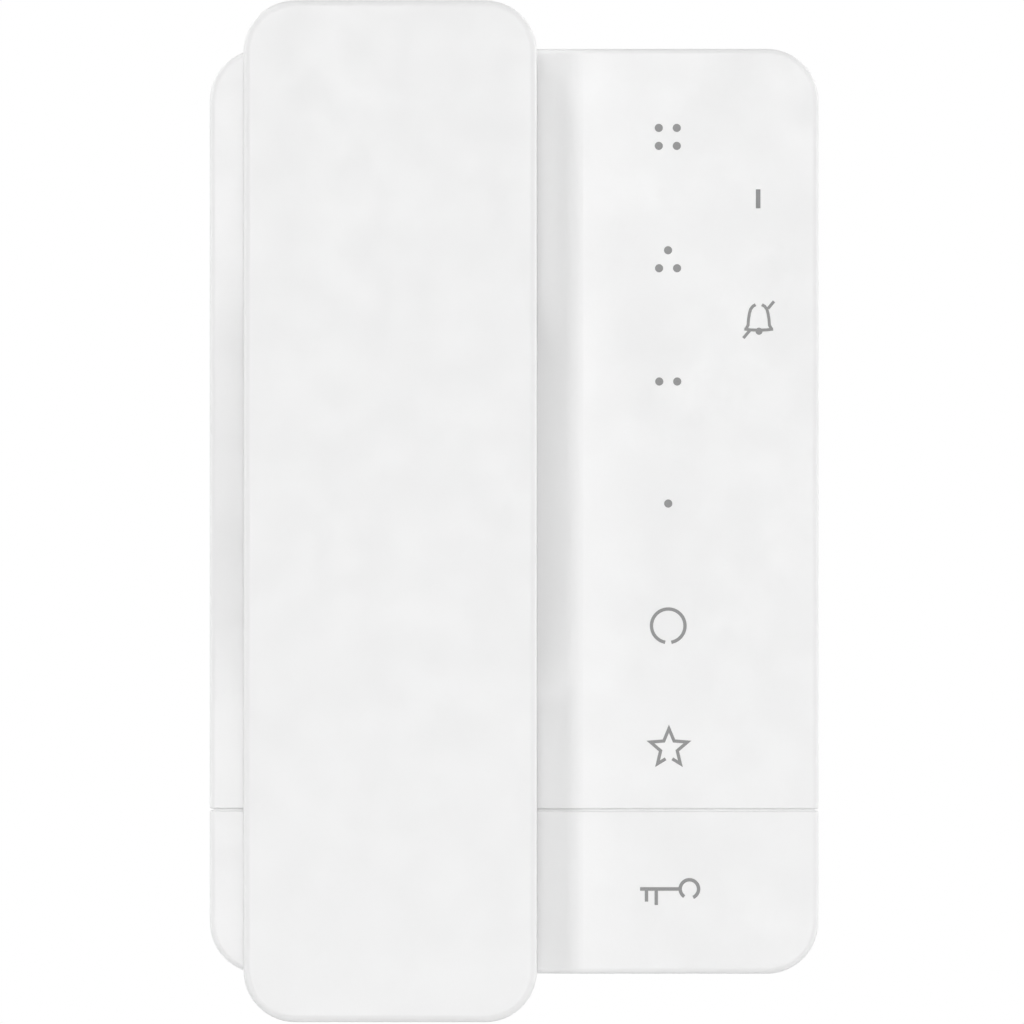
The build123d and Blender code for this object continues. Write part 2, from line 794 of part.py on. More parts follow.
with BuildPart() as front_fascia:
    add(fascia_skin)
    fillet(outer_front_edges(front_fascia, 1), base_edge_radius)
    add(well_cutter, mode=Mode.SUBTRACT)
    fillet(well_side_edges(front_fascia), well_edge_radius)
    fillet(seam_edges(front_fascia, fascia_low_z), seam_edge_radius)
    add(fascia_space.part, mode=Mode.SUBTRACT)
    groove = skin_band(fascia_low_z - overrun, groove_top_z, groove_outer_inset, groove_inner_inset, 0)
    add(groove, mode=Mode.SUBTRACT)
    for x, z in base_screw_places:
        front_depth = cradle_depth if x < 0 else panel_depth
        with BuildSketch(front_plane(screw_boss_depth + guide_gap, x, z)):
            Circle(screw_boss_radius)
        extrude(amount=front_depth - cover_wall / 2 - screw_boss_depth - guide_gap)
        with BuildSketch(front_plane(screw_boss_depth, x, z)):
            Circle(base_screw_radius + running_gap)
        extrude(amount=base_screw_length - base_screw_web + screw_tip_room / 2, mode=Mode.SUBTRACT)
    add(well_cutter, mode=Mode.SUBTRACT)
    hook_points = [
        (hook_root_depth, ledge_z(hook_root_depth)),
        (hook_depth, ledge_z(hook_depth)),
        (hook_depth, ledge_z(hook_depth) - hook_crown_length),
        (hook_root_depth, ledge_z(hook_depth) - hook_foot_length),
    ]
    add(side_prism(hook_points, handset_x, hook_width))
    level_edges = front_fascia.edges().filter_by(Axis.X)
    crown = level_edges.filter_by(lambda e: abs(e.center().Y + hook_depth) < guide_gap)
    fillet(crown, hook_edge_radius)
    with BuildSketch(front_plane(ringer_front_depth - ringer_wall_height, handset_x)):
        Circle(ringer_ring_radius + ringer_wall)
        Circle(ringer_ring_radius, mode=Mode.SUBTRACT)
    extrude(amount=ringer_wall_height + ringer_gasket_thickness + cover_wall / 2)
    with BuildSketch(front_plane(cradle_skin_depth - overrun, handset_x)):
        with GridLocations(0, grille_pitch, 1, grille_slots):
            SlotOverall(grille_slot_length, grille_slot_width)
    extrude(amount=cover_wall + 2 * overrun, mode=Mode.SUBTRACT)
    with BuildSketch(front_plane(touch_board_back_depth)):
        with Locations(*stake_places):
            Circle(stake_radius)
    extrude(amount=panel_skin_depth - touch_board_back_depth + cover_wall / 2)
    with BuildSketch(front_plane(touch_board_back_depth - stake_head_height)):
        with Locations(*stake_places):
            Circle(stake_head_radius)
    extrude(amount=stake_head_height)
    with BuildSketch(front_plane(panel_skin_depth - overrun, mark_column_x, mark_top_z)):
        Rectangle(window_slot_width, window_slot_length)
    extrude(amount=cover_wall + 2 * overrun, mode=Mode.SUBTRACT)
    with BuildSketch(front_plane(well_skin_depth - overrun, handset_x, plunger_z)):
        Circle(plunger_radius + guide_gap)
    extrude(amount=cover_wall + 2 * overrun, mode=Mode.SUBTRACT)
front_fascia.part.label = "front_fascia"
export_step(front_fascia.part, "parts/front_fascia.step")


# Door key: the covers' lower end, hung on two trunnions at its upper edge
key_skin = cover_blank(-base_top_z, key_top_z, 0, skirt_depth)
key_core = cover_blank(-base_top_z, key_top_z - cover_wall, cover_wall, 0)
arm_outer_x = bearing_face_x - arm_side_gap
arm_low_z = key_top_z - cover_wall - 2 * arm_thickness
stem_tip_depth = board_depth + door_switch_height + stem_rise
with BuildPart() as key_space:
    add(key_core)
    add(well_block, mode=Mode.SUBTRACT)
    with BuildSketch(front_plane(0)):
        with Locations((0, key_top_z)):
            Rectangle(base_width - 2 * cover_wall, 2 * (cover_wall + overrun))
    extrude(amount=lip_depth)
rim_top_z = fascia_low_z + seam_rim_overlap
rim_inner_inset = seam_rim_inset + seam_rim_wall
with BuildPart() as door_key:
    add(key_skin)
    fillet(outer_front_edges(door_key, -1), base_edge_radius)
    add(well_cutter, mode=Mode.SUBTRACT)
    fillet(well_side_edges(door_key), well_edge_radius)
    fillet(seam_edges(door_key, key_top_z), seam_edge_radius)
    add(key_space.part, mode=Mode.SUBTRACT)
    add(skin_band(key_top_z - cover_wall / 2, rim_top_z, seam_rim_inset, rim_inner_inset, skirt_depth))
    for side, front_depth in ((-1, cradle_depth), (1, panel_depth)):
        arm_x = side * (arm_outer_x - arm_thickness / 2)
        with BuildSketch(side_plane(arm_x + arm_thickness / 2)):
            with Locations((pivot_depth, pivot_z)):
                Circle(arm_half_height)
            with Locations((pivot_depth, (pivot_z + arm_low_z) / 2)):
                Rectangle(2 * arm_half_height, pivot_z - arm_low_z)
            web_low_depth = pivot_depth - arm_half_height
            web_high_depth = front_depth - cover_wall / 2
            with Locations(((web_low_depth + web_high_depth) / 2, arm_low_z - arm_thickness / 2)):
                Rectangle(web_high_depth - web_low_depth, 2 * arm_thickness)
        extrude(amount=arm_thickness)
        with BuildSketch(side_plane(side * arm_outer_x)):
            with Locations((pivot_depth, pivot_z)):
                Circle(trunnion_radius)
        extrude(amount=-side * (arm_side_gap + trunnion_length))
    for (x, z), front_depth in zip(key_spring_places, (cradle_depth, panel_depth)):
        with BuildSketch(front_plane(key_spring_cup_depth, x, z)):
            Circle(key_spring_cup_radius)
        extrude(amount=front_depth - cover_wall / 2 - key_spring_cup_depth)
        with BuildSketch(front_plane(key_spring_cup_depth - key_spring_peg_height, x, z)):
            Circle(key_spring_peg_radius)
        extrude(amount=key_spring_peg_height)
    with BuildSketch(front_plane(stem_tip_depth + seat_gap, tongue_x, door_switch_z)):
        Circle(presser_radius)
    extrude(amount=panel_depth - cover_wall / 2 - stem_tip_depth - seat_gap)
    add(well_cutter, mode=Mode.SUBTRACT)
    catch_z = cover_wall - base_top_z
    with BuildSketch(front_plane(catch_depth)):
        with Locations(*[(side * catch_x, catch_z) for side in (-1, 1)]):
            Rectangle(catch_width, 2 * catch_reach)
    extrude(amount=catch_thickness)
    with BuildSketch(front_plane(0, base_jack_x, -base_top_z)):
        Rectangle(jack_width + 2 * jack_notch_gap, 2 * (cover_wall + overrun))
    extrude(amount=base_jack_depth + jack_depth + jack_notch_gap, mode=Mode.SUBTRACT)
door_key.part.label = "door_key"
export_step(door_key.part, "parts/door_key.step")


# Screws that join the fascia to the rear shell, their heads sunk in the shell's back
with BuildPart() as base_screws:
    for x, z in base_screw_places:
        seat = back_plane(screw_seat_depth, x, z)
        screw = pan_screw(
            seat,
            base_screw_head_radius,
            base_screw_head_height,
            base_screw_radius,
            base_screw_length,
        )
        add(screw)
base_screws.part.label = "base_screws"
export_step(base_screws.part, "parts/base_screws.step")


# Main board, with a tongue behind the door key
board_length = board_top_z - board_low_z
tongue_length = board_low_z - door_switch_z + tongue_margin
notch_size = board_half_width - base_screw_low_x + screw_seat_radius + boss_clearance
notch_top_z = base_screw_low_z + screw_seat_radius + boss_clearance
with BuildPart() as main_board:
    with BuildSketch(front_plane(board_back_depth)):
        with Locations((0, (board_top_z + board_low_z) / 2)):
            RectangleRounded(2 * board_half_width, board_length, board_corner_radius)
        with Locations((tongue_x, board_low_z - tongue_length / 2)):
            RectangleRounded(tongue_width, tongue_length + 2 * board_corner_radius, board_corner_radius)
        notch_x = board_half_width - notch_size / 2
        with Locations((-notch_x, notch_top_z - notch_size), (notch_x, notch_top_z - notch_size)):
            Rectangle(notch_size, 2 * notch_size, mode=Mode.SUBTRACT)
        with Locations(*board_post_places):
            Circle(board_screw_radius + guide_gap, mode=Mode.SUBTRACT)
    extrude(amount=board_thickness)
main_board.part.label = "main_board"
export_step(main_board.part, "parts/main_board.step")


# Screws that hold the main board on the rear shell's posts
with BuildPart() as board_screws:
    for x, z in board_post_places:
        seat = front_plane(board_depth, x, z)
        screw = pan_screw(
            seat,
            board_screw_head_radius,
            board_screw_head_height,
            board_screw_radius,
            board_screw_length,
        )
        add(screw)
board_screws.part.label = "board_screws"
export_step(board_screws.part, "parts/board_screws.step")


# Touch board behind the panel, held by the fascia's heat stakes
touch_board_width = touch_board_right_x - touch_board_left_x
touch_board_length = touch_board_top_z - touch_board_low_z
boss_reach = screw_boss_radius + boss_clearance
with BuildPart() as touch_board:
    middle_x = (touch_board_left_x + touch_board_right_x) / 2
    middle_z = (touch_board_top_z + touch_board_low_z) / 2
    with BuildSketch(front_plane(touch_board_back_depth)):
        with Locations((middle_x, middle_z)):
            Rectangle(touch_board_width, touch_board_length)
        for x, z, end in ((base_screw_top_x, base_screw_top_z, 1), (base_screw_low_x, base_screw_low_z, -1)):
            corner_x = x - boss_reach + touch_board_width / 2
            corner_z = z + end * (touch_board_width / 2 - boss_reach)
            with Locations((corner_x, corner_z)):
                Rectangle(touch_board_width, touch_board_width, mode=Mode.SUBTRACT)
        with Locations(*stake_places):
            Circle(stake_radius + guide_gap, mode=Mode.SUBTRACT)
        with Locations((mark_column_x, mark_top_z)):
            guide_width = guide_flange_width + 2 * slip_gap
            guide_length = guide_flange_length + 2 * slip_gap
            Rectangle(guide_width, guide_length, mode=Mode.SUBTRACT)
    extrude(amount=touch_board_thickness)
touch_board.part.label = "touch_board"
export_step(touch_board.part, "parts/touch_board.step")


# Copper touch pads on the front of the touch board, one behind each sign
with BuildPart() as touch_electrodes:
    with BuildSketch(front_plane(touch_board_depth)):
        with Locations(*touch_places):
            Circle(electrode_radius)
        with Locations((mark_column_x, mark_top_z - touch_pitch)):
            Circle(side_electrode_radius)
    extrude(amount=electrode_thickness)
touch_electrodes.part.label = "touch_electrodes"
export_step(touch_electrodes.part, "parts/touch_electrodes.step")


# Light guide between the status window and its lamp
with BuildPart() as status_light_guide:
    with BuildSketch(front_plane(touch_board_back_depth + slip_gap, mark_column_x, mark_top_z)):
        Rectangle(guide_flange_width, guide_flange_length)
    extrude(amount=panel_skin_depth - touch_board_back_depth - 2 * slip_gap)
    with BuildSketch(front_plane(panel_skin_depth - slip_gap, mark_column_x, mark_top_z)):
        Rectangle(window_slot_width - 2 * running_gap, window_slot_length - 2 * running_gap)
    extrude(amount=cover_wall + slip_gap - guide_recess)
status_light_guide.part.label = "status_light_guide"
export_step(status_light_guide.part, "parts/status_light_guide.step")


# Status lamp, mounted behind the touch board and shining through it
with BuildPart() as status_lamp:
    with BuildSketch(front_plane(touch_board_back_depth - lamp_height, mark_column_x, mark_top_z)):
        Rectangle(guide_flange_width + 2 * lamp_width, guide_flange_length + lamp_width)
    extrude(amount=lamp_height)
    with BuildSketch(front_plane(touch_board_back_depth, mark_column_x, mark_top_z)):
        Rectangle(lamp_width, lamp_length)
    extrude(amount=slip_gap / 2)
status_lamp.part.label = "status_lamp"
export_step(status_lamp.part, "parts/status_lamp.step")


# Connector between the boards: a socket on the main board and a pin strip on the touch board
header_length = (header_rows + 1) * header_pitch
pin_strip_back_depth = touch_board_back_depth - pin_strip_height
socket_front_depth = board_depth + socket_height
pin_tip_depth = socket_front_depth - pin_reach
with BuildPart() as board_socket:
    with BuildSketch(front_plane(board_depth, header_x, header_z)):
        Rectangle(header_width, header_length)
    extrude(amount=socket_height)
    with BuildSketch(front_plane(pin_tip_depth - seat_gap, header_x, header_z)):
        with GridLocations(header_pitch, header_pitch, 2, header_rows):
            Rectangle(pin_width + 2 * guide_gap, pin_width + 2 * guide_gap)
    extrude(amount=pin_reach + seat_gap + overrun, mode=Mode.SUBTRACT)
board_socket.part.label = "board_socket"
export_step(board_socket.part, "parts/board_socket.step")

with BuildPart() as board_pins:
    with BuildSketch(front_plane(pin_strip_back_depth, header_x, header_z)):
        Rectangle(header_width, header_length)
    extrude(amount=pin_strip_height)
    with BuildSketch(front_plane(pin_tip_depth, header_x, header_z)):
        with GridLocations(header_pitch, header_pitch, 2, header_rows):
            Rectangle(pin_width, pin_width)
    extrude(amount=pin_strip_back_depth - pin_tip_depth)
board_pins.part.label = "board_pins"
export_step(board_pins.part, "parts/board_pins.step")


# Ringer speaker behind the grille, with its gasket
ringer_back_depth = ringer_front_depth - ringer_flange_thickness
ringer_basket_depth = ringer_back_depth - ringer_basket_height
with BuildPart() as ringer_speaker:
    with BuildSketch(side_plane(handset_x)):
        with BuildLine():
            Polyline(
                (ringer_basket_depth - ringer_magnet_height, 0),
                (ringer_basket_depth - ringer_magnet_height, ringer_magnet_radius),
                (ringer_basket_depth, ringer_magnet_radius),
                (ringer_basket_depth, ringer_magnet_radius + ringer_magnet_height),
                (ringer_back_depth, ringer_basket_radius),
                (ringer_back_depth, ringer_radius),
                (ringer_front_depth, ringer_radius),
                (ringer_front_depth, ringer_basket_radius),
                (ringer_front_depth - ringer_cone_depth, ringer_magnet_radius),
                (ringer_front_depth - ringer_cone_depth, ringer_cone_depth),
                (ringer_front_depth - ringer_cone_depth / 2, 0),
                close=True,
            )
        make_face()
    revolve(axis=Axis((handset_x, 0, 0), (0, -1, 0)))
ringer_speaker.part.label = "ringer_speaker"
export_step(ringer_speaker.part, "parts/ringer_speaker.step")

with BuildPart() as ringer_gasket:
    with BuildSketch(front_plane(ringer_front_depth, handset_x)):
        Circle(ringer_radius)
        Circle(ringer_basket_radius, mode=Mode.SUBTRACT)
    extrude(amount=ringer_gasket_thickness)
ringer_gasket.part.label = "ringer_gasket"
export_step(ringer_gasket.part, "parts/ringer_gasket.step")


# Cradle plunger: a hollow post on an oblong flange, held down by the handset's mouth pad
plunger_flange_front = well_skin_depth - seat_gap - plunger_travel
plunger_flange_back = plunger_flange_front - plunger_flange_thickness
plunger_tip_depth = pad_depth - seat_gap
plunger_bore_depth = plunger_tip_depth - plunger_crown
flange_centre_z = plunger_z - plunger_flange_radius + plunger_flange_length / 2
hook_switch_z = flange_centre_z + plunger_flange_length / 2 - plunger_flange_radius
with BuildPart() as hook_plunger:
    with BuildSketch(front_plane(plunger_flange_back, handset_x, flange_centre_z)):
        SlotOverall(plunger_flange_length, 2 * plunger_flange_radius, rotation=90)
    extrude(amount=plunger_flange_thickness)
    with BuildSketch(front_plane(plunger_flange_front, handset_x, plunger_z)):
        Circle(plunger_radius)
    extrude(amount=plunger_tip_depth - plunger_flange_front)
    tip_edge = hook_plunger.edges().sort_by(Axis.Y)[0]
    fillet(tip_edge, plunger_crown / 2)
    with BuildSketch(front_plane(plunger_flange_back - overrun, handset_x, plunger_z)):
        Circle(plunger_bore_radius)
    extrude(amount=plunger_bore_depth - plunger_flange_back + overrun, mode=Mode.SUBTRACT)
hook_plunger.part.label = "hook_plunger"
export_step(hook_plunger.part, "parts/hook_plunger.step")


# Cradle switch under the plunger's flange
hook_switch_top_depth = board_depth + hook_switch_height
with BuildPart() as hook_switch:
    with BuildSketch(front_plane(board_depth, handset_x, hook_switch_z)):
        RectangleRounded(hook_switch_size, hook_switch_size, hook_switch_stem_radius / 2)
    extrude(amount=hook_switch_height)
    with BuildSketch(front_plane(hook_switch_top_depth, handset_x, hook_switch_z)):
        Circle(hook_switch_stem_radius)
    extrude(amount=plunger_flange_back - seat_gap - hook_switch_top_depth)
hook_switch.part.label = "hook_switch"
export_step(hook_switch.part, "parts/hook_switch.step")


# Springs: one in the cradle plunger, two behind the door key
hook_spring_back = board_depth + spring_seat_gap
hook_spring_front = plunger_bore_depth - spring_seat_gap
hook_spring = coil_spring(
    handset_x,
    plunger_z,
    hook_spring_back,
    hook_spring_front,
    hook_spring_radius,
    spring_wire_radius,
    hook_spring_turns,
)
hook_spring.label = "hook_spring"
export_step(hook_spring, "parts/hook_spring.step")

key_spring_back = floor_depth + spring_seat_gap
key_spring_front = key_spring_cup_depth - spring_seat_gap
with BuildPart() as key_springs:
    for x, z in key_spring_places:
        key_spring = coil_spring(
            x,
            z,
            key_spring_back,
            key_spring_front,
            key_spring_radius,
            key_spring_wire_radius,
            key_spring_turns,
        )
        add(key_spring)
key_springs.part.label = "key_springs"
export_step(key_springs.part, "parts/key_springs.step")


# Door switch on the board's tongue, and its stem
door_switch_top = board_depth + door_switch_height
with BuildPart() as door_switch:
    with BuildSketch(front_plane(board_depth, tongue_x, door_switch_z)):
        RectangleRounded(door_switch_size, door_switch_size, stem_rise / 2)
    extrude(amount=door_switch_height)
    with BuildSketch(front_plane(door_switch_top - stem_sunk - stem_room, tongue_x, door_switch_z)):
        Circle(stem_radius + running_gap)
    extrude(amount=stem_sunk + stem_room, mode=Mode.SUBTRACT)
door_switch.part.label = "door_switch"
export_step(door_switch.part, "parts/door_switch.step")

with BuildPart() as door_switch_stem:
    with BuildSketch(front_plane(door_switch_top - stem_sunk, tongue_x, door_switch_z)):
        Circle(stem_radius)
    extrude(amount=stem_sunk + stem_rise)
    fillet(door_switch_stem.edges().sort_by(Axis.Y)[0], stem_rise / 4)
door_switch_stem.part.label = "door_switch_stem"
export_step(door_switch_stem.part, "parts/door_switch_stem.step")


# Bus terminals and their screws, reached through the cable window
terminal_width = (terminal_poles + 0.5) * terminal_pitch
terminal_back_depth = board_back_depth - terminal_block_depth
terminal_places = [
    ((pole - (terminal_poles - 1) / 2) * terminal_pitch, terminal_z + terminal_block_height / 4)
    for pole in range(terminal_poles)
]
with BuildPart() as bus_terminal_block:
    with BuildSketch(front_plane(terminal_back_depth, 0, terminal_z)):
        Rectangle(terminal_width, terminal_block_height)
    extrude(amount=terminal_block_depth)
    back_edges = bus_terminal_block.edges().filter_by(Axis.X).sort_by(Axis.Y)[-2:]
    chamfer(back_edges, terminal_screw_head_height / 2)
    with BuildSketch(front_plane(0)):
        with Locations(*terminal_places):
            Circle(terminal_screw_radius + running_gap)
    extrude(amount=board_back_depth - terminal_screw_head_height, mode=Mode.SUBTRACT)
    with BuildSketch(Plane.XY.offset(terminal_z - terminal_block_height)):
        with Locations(*[(x, -board_back_depth + terminal_block_depth / 2) for x, z in terminal_places]):
            Circle(terminal_wire_radius)
    extrude(amount=terminal_block_height - terminal_wire_radius, mode=Mode.SUBTRACT)
bus_terminal_block.part.label = "bus_terminal_block"
export_step(bus_terminal_block.part, "parts/bus_terminal_block.step")

with BuildPart() as terminal_screws:
    for x, z in terminal_places:
        head_depth = terminal_back_depth + terminal_screw_head_height
        with BuildSketch(front_plane(head_depth, x, z)):
            Circle(terminal_screw_radius)
        extrude(amount=board_back_depth - 2 * terminal_screw_head_height - head_depth)
        with BuildSketch(front_plane(head_depth, x, z)):
            Rectangle(2 * terminal_screw_radius, terminal_screw_radius * recess_width_share)
        extrude(amount=terminal_screw_head_height / 2, mode=Mode.SUBTRACT)
terminal_screws.part.label = "terminal_screws"
export_step(terminal_screws.part, "parts/terminal_screws.step")


# Configurator socket above the terminals: pairs of small holes for plug-in jumpers
with BuildPart() as configurator_socket:
    with BuildSketch(front_plane(board_back_depth - configurator_depth, 0, configurator_z)):
        Rectangle((configurator_poles + 0.5) * configurator_pitch, configurator_height)
        with GridLocations(configurator_pitch, configurator_height / 2, configurator_poles, 2):
            Circle(configurator_hole_radius, mode=Mode.SUBTRACT)
    extrude(amount=configurator_depth)
configurator_socket.part.label = "configurator_socket"
export_step(configurator_socket.part, "parts/configurator_socket.step")


# Line transformer: a laminated core with a coil through it
transformer_z = board_top_z - transformer_top_inset
with BuildPart() as line_transformer:
    with BuildSketch(front_plane(board_depth, 0, transformer_z)):
        Rectangle(transformer_width, transformer_height)
    extrude(amount=transformer_core_depth)
    with BuildSketch(front_plane(board_depth, 0, transformer_z)):
        RectangleRounded(
            transformer_coil_width, transformer_height + 2 * transformer_coil_swell, transformer_coil_swell
        )
    extrude(amount=transformer_core_depth + transformer_coil_swell)
line_transformer.part.label = "line_transformer"
export_step(line_transformer.part, "parts/line_transformer.step")


# Supply capacitors standing on the main board
capacitor_x = board_half_width - capacitor_side_inset
with BuildPart() as capacitors:
    with BuildSketch(front_plane(board_depth, capacitor_x, capacitor_z)):
        with GridLocations(0, capacitor_pitch, 1, 2):
            Circle(capacitor_radius)
    extrude(amount=capacitor_height)
    fillet(capacitors.edges().group_by(Axis.Y)[0], capacitor_radius / 6)
capacitors.part.label = "capacitors"
export_step(capacitors.part, "parts/capacitors.step")


# Handset cord socket in the base's lower end
cord_jack = cord_socket(base_jack_x, base_jack_depth, shell_low_z)
cord_jack.label = "cord_jack"
export_step(cord_jack, "parts/cord_jack.step")
cord_jack_contacts = cord_contacts(base_jack_x, base_jack_depth, shell_low_z)
cord_jack_contacts.label = "cord_jack_contacts"
export_step(cord_jack_contacts, "parts/cord_jack_contacts.step")


def handset_section(inset, front_depth):
    """Side section of the handset's back shell, `inset` inside its skin: two ends and a grip."""
    turn = 2 * degrees(atan((grip_depth - handset_end_depth) / neck_length))
    neck_radius = neck_length / (2 * sin(radians(turn)))
    neck_z = grip_half_length + neck_length
    end_z = handset_top_z - inset
    end_depth = handset_end_depth + inset
    with BuildSketch(side_plane(handset_x + handset_width / 2)) as section:
        with BuildLine():
            top = Line((front_depth, end_z), (end_depth, end_z))
            ear_back = Line(top @ 1, (end_depth, neck_z))
            ear_bend = JernArc(ear_back @ 1, (0, -1), neck_radius - inset, turn)
            ear_neck = JernArc(ear_bend @ 1, ear_bend % 1, neck_radius + inset, -turn)
            grip = Line(ear_neck @ 1, (grip_depth + inset, -grip_half_length))
            mouth_neck = JernArc(grip @ 1, (0, -1), neck_radius + inset, -turn)
            mouth_bend = JernArc(mouth_neck @ 1, mouth_neck % 1, neck_radius - inset, turn)
            mouth_back = Line(mouth_bend @ 1, (end_depth, -end_z))
            bottom = Line(mouth_back @ 1, (front_depth, -end_z))
            Line(bottom @ 1, top @ 0)
        make_face()
    return section.sketch


def handset_outline(inset):
    """Front outline of the handset, `inset` inside its skin, as an upright sketch on the wall plane."""
    with BuildSketch(front_plane(0, handset_x)) as outline:
        RectangleRounded(handset_width - 2 * inset, handset_length - 2 * inset, handset_corner_radius - inset)
    return outline.sketch


def front_ring(outer_inset, inner_inset):
    """Ring between two insets of the handset's front outline, flat on its own plane."""
    with BuildSketch() as ring:
        width = handset_width - 2 * outer_inset
        RectangleRounded(width, handset_length - 2 * outer_inset, handset_corner_radius - outer_inset)
        width = handset_width - 2 * inner_inset
        length = handset_length - 2 * inner_inset
        RectangleRounded(width, length, handset_corner_radius - inner_inset, mode=Mode.SUBTRACT)
    return ring.sketch


def handset_back_blank(inset, front_depth):
    """Block of the handset behind its parting plane, with the grip hollowed out of its back."""
    section = handset_section(inset, front_depth)
    outline = handset_outline(inset)
    with BuildPart() as blank:
        extrude(section, amount=handset_width)
        extrude(outline, amount=handset_front_depth, mode=Mode.INTERSECT)
    return blank.part


def pad_blank(end, inset):
    """Ear pad (end 1) or mouth pad (end -1), `inset` inside its skin, reaching into the body."""
    face = pad_depth + inset
    root = handset_end_depth + handset_wall / 2 + inset
    end_z = end * (handset_top_z - pad_end_inset - inset)
    if end > 0:
        shoulder = [ledge_z(face, seat_gap + inset), ledge_z(root, seat_gap + inset)]
    else:
        shoulder = [ramp_z(face, pad_gap + inset), ramp_z(root, pad_gap + inset)]
    with BuildPart() as pad:
        outline = [(face, shoulder[0]), (root, shoulder[1]), (root, end_z), (face, end_z)]
        add(side_prism(outline, handset_x, pad_width - 2 * inset))
        corners = pad.edges().filter_by(Axis.Y).sort_by(Axis.Z)
        fillet(corners[-2:] if end > 0 else corners[:2], pad_corner_radius - inset)
        if inset == 0:
            fillet(pad.faces().sort_by(Axis.Y)[-1].edges(), pad_edge_radius)
    return pad.part


# Handset back shell: grip, ear pad with the dished grille, mouth pad, and the cord socket's opening
handset_body = handset_back_blank(0, parting_depth)
handset_hollow = handset_back_blank(handset_wall, parting_depth + overrun)
pads = [pad_blank(1, 0), pad_blank(-1, 0)]
pad_hollows = [pad_blank(1, handset_wall), pad_blank(-1, handset_wall)]
pad_skin_depth = pad_depth + handset_wall
receiver_seat_depth = pad_skin_depth + dish_depth
receiver_back_depth = receiver_seat_depth + receiver_gasket_thickness
receiver_ring_radius = receiver_radius + slip_gap
dish_sphere_radius = (dish_radius**2 + dish_depth**2) / (2 * dish_depth)
dish_half_drop = dish_sphere_radius - sqrt(dish_sphere_radius**2 - dish_radius**2 / 4)
dish_mid_depth = pad_depth + dish_depth - dish_half_drop
mic_boot_radius = mic_radius + mic_boot_wall
mic_ring_radius = mic_boot_radius + slip_gap
handset_jack_depth = handset_end_depth + handset_wall + slip_gap
handset_screw_seat = grip_depth + handset_screw_sink + handset_screw_head_height
handset_screw_boss_depth = handset_screw_seat + handset_screw_web
handset_screw_places = [(handset_x, handset_screw_low_z + row * handset_screw_pitch) for row in range(2)]
front_skin_depth = handset_front_depth - handset_wall
with BuildPart() as handset_jack_cutter:
    with BuildSketch(Plane.XY.offset(-handset_top_z - overrun)):
        with Locations((handset_x, -handset_jack_depth - jack_depth / 2)):
            Rectangle(jack_width + 2 * slip_gap, jack_depth + 2 * slip_gap)
    extrude(amount=handset_wall + shell_lip_wall + 2 * overrun)
